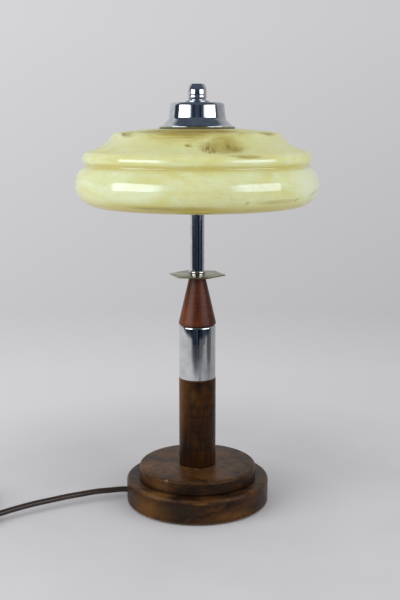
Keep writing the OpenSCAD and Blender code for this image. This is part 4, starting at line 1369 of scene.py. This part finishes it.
@dataclass
class LampHead:
    """Two small bulbs under the shade, and the gasket that the glass sits on."""

    lamp_z: float = 347.4
    tip: float = 30.5
    tip_r: float = 3.0
    tip_break_r: float = 0.6
    tip_break: float = 0.5
    shoulder: float = 32.7
    thread_r: float = 6.9
    thread_pitch: float = 2.8
    thread_deep: float = 0.5
    thread_end: float = 1.0
    neck: float = 55.1
    neck_r: float = 6.6
    neck_flare: float = 1.2
    neck_length: float = 4.0
    globe_at: float = 76.5
    globe_r: float = 17.5
    globe_wall: float = 1.0
    globe_open: float = 140.0
    gasket_r: float = 25.0
    gasket_in: float = 6.4
    gasket_z: float = 391.9
    gasket_t: float = 2.0
    gasket_foot: tuple[float, float] = (0.4, 0.5)
    gasket_rim: tuple[float, float] = (0.3, 0.4)

    def lay_on_arm(self, piece: bpy.types.Object, side: Side) -> None:
        """Turn a piece from the Z axis onto one arm.

        Args:
            piece: the piece, made upright at the origin.
            side: the arm's side.
        """
        take_up(piece)
        piece.rotation_euler = (0.0, side.value * math.pi / 2, 0.0)
        piece.location = (0.0, 0.0, self.lamp_z * MM)
        bpy.ops.object.transform_apply(location=True, rotation=True, scale=True)

    def build(self) -> None:
        """Make both bulbs and the gasket."""
        for side in Side:
            self.bulb_cap(side)
            self.bulb_globe(side)
        self.gasket()

    def bulb_cap(self, side: Side) -> None:
        """Press a bulb's threaded cap.

        Args:
            side: the arm's side.
        """
        word = side.name.lower()
        root, last = self.thread_r - self.thread_deep, self.neck - self.thread_end
        turns: Profile = []
        z = self.shoulder + self.thread_end
        while z + self.thread_pitch < last:
            turns += arc((root, z + self.thread_pitch / 2), self.thread_deep, -90, 90, 6)
            z += self.thread_pitch
        piece = turned(
            f"bulb_cap_{word}",
            [
                (0, self.tip), (self.tip_r - self.tip_break_r, self.tip),
                (self.tip_r, self.tip + self.tip_break), (root, self.shoulder), *turns,
                (self.thread_r, last), (self.thread_r, self.neck), (0, self.neck),
            ],
            steps=48,
        )
        self.lay_on_arm(piece, side)
        settle(piece, f"bulb_{word}", "nickel", NICKEL, f"bulb_{word}_cap")

    def bulb_globe(self, side: Side) -> None:
        """Blow a bulb's globe.

        Args:
            side: the arm's side.
        """
        word = side.name.lower()
        middle, start, flare_z = (0.0, self.globe_at), 90 - self.globe_open, self.neck + self.neck_length
        flare_r = self.neck_r + self.neck_flare
        piece = turned(
            f"bulb_globe_{word}",
            [
                (self.neck_r, self.neck), (flare_r, flare_z),
                *arc(middle, self.globe_r, start, 90, 28),
                *arc(middle, self.globe_r - self.globe_wall, 90, start, 28),
                (flare_r - self.globe_wall, flare_z), (self.neck_r - self.globe_wall, self.neck),
                (self.neck_r, self.neck),
            ],
            steps=64,
            sharp=60,
        )
        self.lay_on_arm(piece, side)
        settle(piece, f"bulb_{word}", "opal_bulb_glass", OPAL, f"bulb_{word}_glass")

    def gasket(self) -> None:
        """Cut the cork ring that the glass sits on."""
        r, foot, top = self.gasket_r, self.gasket_z, self.gasket_z + self.gasket_t
        ring = turned(
            "cork_seat_ring",
            [
                (self.gasket_in, foot), (r - self.gasket_foot[0], foot), (r, foot + self.gasket_foot[1]),
                (r, top - self.gasket_rim[1]), (r - self.gasket_rim[0], top),
                (self.gasket_in, top), (self.gasket_in, foot),
            ],
        )
        settle(ring, "stand", "cork", CORK, "lower_gasket")


@dataclass
class ShadeSet:
    """Marbled glass shade with the felt ring, the spun cap and the barrel finial that hold it."""

    top_z: float = 397.9
    wall: float = 4.0
    hole_r: float = 7.0
    flat_r: float = 26.0
    belly_r: float = 125.0
    belly_round: float = 22.5
    belly_below: float = 26.0
    crown_r: float = 44.0
    crown_round: float = 30.0
    crown_fall: float = 5.6
    corner_inset: float = 42.8
    corner_round: float = 6.5
    corner_turn: float = 35.0
    flare_round: float = 40.0
    flare_turn: float = 78.0
    bead_round: float = 7.4
    groove_round: float = 2.0
    lip_turn: float = -110.0
    ring_r: float = 38.7
    ring_w: float = 5.0
    ring_t: float = 0.8
    ring_break: float = 0.15
    ring_edge: float = 0.2
    cap_rim_r: float = 39.2
    cap_edge: float = 1.4
    rim_cut: float = 0.9
    rim_break: float = 0.1
    rim_drop: float = 0.2
    cap_waist_r: float = 29.0
    cap_round: float = 3.4
    cap_h: float = 25.4
    cap_lean: float = 6.5
    skirt_lean: float = 45.0
    lip_lean: float = 85.0
    lip_outside: float = 1.0
    lip_inside: float = 12.0
    bend_r: float = 6.0
    lip_r: float = 8.0
    cap_wall: float = 1.0
    bore: float = 5.4
    flange_r: float = 12.3
    flange_t: float = 2.3
    flange_round: float = 1.1
    neck_r: float = 8.5
    band_r: float = 9.8
    band_round: float = 4.0
    band_z: float = 6.0
    band_arc: tuple[float, float] = (-46.0, 28.0)
    crease_r: float = 8.9
    crease_z: float = 8.05
    barrel_r: float = 9.6
    barrel_round: float = 15.5
    barrel_z: float = 10.3
    barrel_arc: tuple[float, float] = (-7.8, 29.5)
    crest_in: tuple[float, float] = (0.3, 0.8)
    crest_drop: float = 0.15
    finial_h: float = 18.6
    finial_bore: float = 5.08
    finial_deep: float = 12.4

    def skin(self, inset: float) -> Profile:
        """Follow crown, corner, flare, bead, groove and belly.

        Args:
            inset: how far inside the outer face the line lies.

        Returns:
            Points of the line in radius and height.
        """
        fall = math.radians(self.crown_fall)
        lean = Vector((math.sin(fall), math.cos(fall)))
        corner_r = self.belly_r - self.corner_inset
        crown = Vector((self.crown_r, -self.crown_round))
        end = crown + self.crown_round * lean
        corner = Vector((corner_r, end.y - (corner_r - end.x) * math.tan(fall))) - self.corner_round * lean

        def heading(way: Vector) -> float:
            """Give the angle of a direction."""
            return math.degrees(math.atan2(way.y, way.x))

        flare = corner + (self.corner_round + self.flare_round) * unit(self.corner_turn)
        bead = flare - (self.flare_round + self.bead_round) * unit(self.flare_turn)
        belly = Vector((self.belly_r - self.belly_round, bead.y - self.belly_below))
        # The groove's arc touches the belly and the bead from outside
        near, far = self.belly_round + self.groove_round, self.bead_round + self.groove_round
        gap = (bead - belly).length
        axis = (bead - belly) / gap
        along = (near * near - far * far + gap * gap) / (2 * gap)
        groove = belly + along * axis + math.sqrt(near * near - along * along) * Vector((axis.y, -axis.x))
        bead_end, belly_start = heading(groove - bead), heading(groove - belly)
        t = inset
        points = [(self.hole_r, -t), (self.flat_r, -t)]
        points += arc(crown, self.crown_round - t, 90, 90 - self.crown_fall, 4)
        points += arc(corner, self.corner_round - t, 90 - self.crown_fall, self.corner_turn, 12)
        points += arc(flare, self.flare_round + t, 180 + self.corner_turn, 180 + self.flare_turn, 16)
        points += arc(bead, self.bead_round - t, self.flare_turn, bead_end, 22)
        points += arc(groove, self.groove_round + t, 180 + bead_end, 180 + belly_start, 12)
        points += arc(belly, self.belly_round - t, belly_start, self.lip_turn, 44)
        return [(r, z + self.top_z) for r, z in points]

    def glass(self) -> MarbledGlass:
        """Place the streaks where they lie on the front, and some more round the back.

        Returns:
            The shade's glass.
        """
        level = Stroke.LEVEL
        front = [
            Smear((26.0, -96.0, 382.4), (30.0, 22.0, 18.0), 14.0, 0.0, 3.0, 0.72, 0.12),
            Smear((12.0, -101.0, 379.4), (12.0, 14.0, 13.0), 8.0, 22.0, 9.0, 0.4, 1.0),
            Smear((32.5, -95.0, 382.4), (13.0, 14.0, 15.0), 18.0, -8.0, 8.0, 0.5, 0.9),
            Smear((36.8, -93.7, 379.8), (4.0, 6.0, 4.6), 22.0, 0.0, 2.0, 0.8, 0.9),
            Smear((46.0, -103.0, 372.6), (24.0, 9.0, 3.4), 25.0, 4.0, 3.0, 0.7, 0.8, level),
            Smear((-7.7, -95.6, 383.0), (5.4, 6.0, 2.6), -5.0, 10.0, 3.0, 0.6, 0.9, level),
            # These two are streaks in the glass and also the cap's painted shadow on the glass under its rim
            Smear((-4.0, -62.0, 396.0), (66.0, 58.0, 16.0), 0.0, 0.0, 4.0, 1.0, 0.75, level),
            Smear((22.0, -62.0, 396.2), (24.0, 22.0, 8.0), 20.0, 0.0, 4.0, 0.95, 0.75, level),
            Smear((-68.0, -50.7, 393.1), (17.0, 12.0, 5.0), -53.0, 8.0, 3.0, 0.75, 0.9, level),
            Smear((67.7, -48.7, 393.4), (19.0, 10.0, 4.0), 54.0, 5.0, 3.0, 0.7, 0.8, level),
            Smear((46.5, -112.9, 331.3), (4.0, 5.0, 3.0), 22.0, 30.0, 2.0, 0.4, 0.45),
            Smear((95.0, -77.4, 331.9), (5.0, 6.0, 2.6), 51.0, -15.0, 2.0, 0.45, 0.6, level),
            Smear((115.0, -44.5, 336.9), (22.0, 8.0, 3.0), 66.0, -10.0, 3.0, 0.8, 0.8, level),
            Smear((-20.0, -114.0, 326.4), (70.0, 16.0, 3.2), -10.0, 0.0, 4.0, 0.55, 0.4, level),
            Smear((73.0, -93.0, 331.0), (36.0, 14.0, 3.8), 38.0, 0.0, 4.0, 0.5, 0.2, level),
            # A milky cloud on the right of the belly, partly the glass's own clouding and partly painted
            # reflection of the pale paper on that side
            Smear((108.0, -52.0, 346.0), (42.0, 52.0, 24.0), 0.0, 0.0, 3.0, 0.7, 0.0, tint="#d4dcc2"),
        ]
        back = [
            Smear((-40.0, 92.0, 380.4), (15.0, 13.0, 12.0), 204.0, 20.0, 7.0, 0.55, 0.85),
            Smear((72.0, 62.0, 383.4), (12.0, 12.0, 9.0), 131.0, -15.0, 5.0, 0.5, 0.8),
            Smear((-95.0, 35.0, 379.4), (10.0, 14.0, 8.0), 250.0, 25.0, 5.0, 0.5, 0.8),
            Smear((20.0, 66.0, 395.4), (26.0, 14.0, 5.0), 163.0, 20.0, 5.0, 0.6, 0.5),
            Smear((-70.0, 98.0, 334.4), (16.0, 8.0, 5.0), 215.0, 15.0, 3.0, 0.5, 0.6),
        ]
        return MarbledGlass(
            "pressed_marbled_opal_glass", "#d8e0b6", "#d3d7a2", "#cfcd8a", "#c4b149", "#a89843", "#6f5824",
            groove_z=362.0, lip_z=319.6, smears=tuple(front + back),
        )

    def build(self) -> None:
        """Press the glass, punch the ring, spin the cap and turn the finial."""
        outer, inner = self.skin(0.0), self.skin(self.wall)
        tip = [(a + b) / 2 for a, b in zip(outer[-1], inner[-1])]
        lip = arc(tip, self.wall / 2, self.lip_turn, self.lip_turn - 180, 10)
        shade = turned("marbled_shade", outer + lip[1:-1] + inner[::-1] + outer[:1], steps=176, sharp=50)
        settle(shade, "shade", "marbled_glass", self.glass(), "shade")
        low, high = self.top_z, self.top_z + self.ring_t
        inside, side, edge = self.ring_r - self.ring_w, self.ring_r - self.ring_break, self.ring_edge
        ring = turned(
            "felt_ring",
            [
                (inside, low), (side, low), (self.ring_r, low + edge), (self.ring_r, high - edge),
                (side, high), (inside, high), (inside, low),
            ],
        )
        settle(ring, "shade", "felt", GREY_FELT, "upper_gasket")
        self.cap(high)
        self.finial(high + self.cap_h)

    def cap(self, z: float) -> None:
        """Spin the bell cap: a steep wall, a bend, a slanted skirt and a lip that nearly lies flat.

        Args:
            z: height of its foot.
        """
        lean, skirt = math.radians(self.cap_lean), math.radians(self.skirt_lean)
        lip = Vector((self.cap_rim_r, self.cap_edge)) + self.lip_r * unit(self.lip_lean)
        foot = lip - self.lip_r * unit(self.skirt_lean)
        bend_x = self.cap_waist_r + self.bend_r * math.cos(lean)
        inset = foot.x - bend_x + self.bend_r * math.cos(skirt)
        bend = (bend_x, foot.y + inset / math.tan(skirt) + self.bend_r * math.sin(skirt))
        rise = self.cap_h - self.cap_round * (1 - math.sin(lean)) - bend[1] + self.bend_r * math.sin(lean)
        dome_r = self.cap_waist_r - rise * math.tan(lean) - self.cap_round * math.cos(lean)
        top = (dome_r, self.cap_h - self.cap_round)
        low, mid, high = 180 + self.lip_lean, 180 + self.skirt_lean, 180 + self.cap_lean
        rim = (self.cap_rim_r - self.rim_cut, 0.0)
        points = [rim, (self.cap_rim_r - self.rim_break, self.cap_edge - self.rim_drop)]
        points += arc(lip, self.lip_r, low - self.lip_outside, mid, 12)
        points += arc(bend, self.bend_r, mid, high, 12)
        points += arc(top, self.cap_round, self.cap_lean, 90, 10)
        points += [(self.bore, self.cap_h), (self.bore, self.cap_h - self.cap_wall)]
        points += arc(top, self.cap_round - self.cap_wall, 90, self.cap_lean, 10)
        points += arc(bend, self.bend_r + self.cap_wall, high, mid, 12)
        points += arc(lip, self.lip_r + self.cap_wall, mid, low - self.lip_inside, 12)
        points += [(self.cap_rim_r - self.cap_edge, 0.0), rim]
        cap = turned("spun_bell_cap", [(r, h + z) for r, h in points])
        settle(cap, "shade", "chrome", CHROME, "bell_cap")

    def finial(self, z: float) -> None:
        """Turn the barrel finial.

        Args:
            z: height of its foot.
        """
        flange = self.flange_r - self.flange_round
        points = [(self.finial_bore, 0.0), (flange, 0.0)]
        points += arc((flange, self.flange_round), self.flange_round, -90, 90, 12)
        points += [(self.neck_r, self.flange_t)]
        points += arc((self.band_r - self.band_round, self.band_z), self.band_round, *self.band_arc, 12)
        points += [(self.crease_r, self.crease_z)]
        barrel_x = self.barrel_r - self.barrel_round
        points += arc((barrel_x, self.barrel_z), self.barrel_round, *self.barrel_arc, 18)
        crest = points[-1][0]
        points += [
            (crest - self.crest_in[0], self.finial_h - self.crest_drop),
            (crest - self.crest_in[1], self.finial_h), (0.0, self.finial_h), (0.0, self.finial_deep),
            (self.finial_bore, self.finial_deep), (self.finial_bore, 0.0),
        ]
        barrel = turned("barrel_finial", [(r, h + z) for r, h in points], steps=96)
        settle(barrel, "finial", "chrome", CHROME, "finial")


CARRIED: dict[Finish, tuple[str, ...]] = {
    STEEL: (
        "base_screws", "rod_washer", "rod_nut", "clamp_screws", "cluster_body", "nipple_nuts", "riser_tube",
        "shade_seat", "switch_screws", "switch_pin",
    ),
    BRASS: (
        "through_rod", "holder_nipples", "finial_rod", "contacts_left", "contacts_right",
        "switch_terminals",
    ),
    FIBRE: ("cord_clamp",),
    IVORY: ("terminal_block",),
    CORD_PVC: ("cord_inner",),
    WIRE_PVC: ("core_ends", "lamp_wires"),
    NICKEL: ("plug_pins",),
    PHENOLIC: ("holder_left", "holder_right"),
    SWITCH_PLASTIC: ("switch_base", "switch_cover"),
    ROCKER_PLASTIC: ("switch_rocker",),
    PLUG_RUBBER: ("plug_body", "plug_boot"),
}


def dress_carried() -> None:
    """Give every solid that still shows the finish of its real material."""
    for finish, names in CARRIED.items():
        for name in names:
            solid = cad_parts[name]
            solid.data.materials.clear()
            solid.data.materials.append(finish.material())
            log.info("%s keeps its solid in %s", name, finish.name)


def corners() -> list[list[float]]:
    """Give the lowest and highest corner of what shows."""
    return [[round(v, 6) for v in corner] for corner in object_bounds()]


def main() -> None:
    """Build the scene and report each piece."""
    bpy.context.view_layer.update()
    bpy.context.scene.view_settings.view_transform = "Standard"
    studio = Studio()
    studio.set_camera()
    MainsLead().build()
    TurnedBase().build()
    Upright().build()
    LampHead().build()
    ShadeSet().build()
    dress_carried()
    studio.set_lights()
    studio.set_world()
    studio.lay_table()
    deselect()


if __name__ == "__main__":
    main()
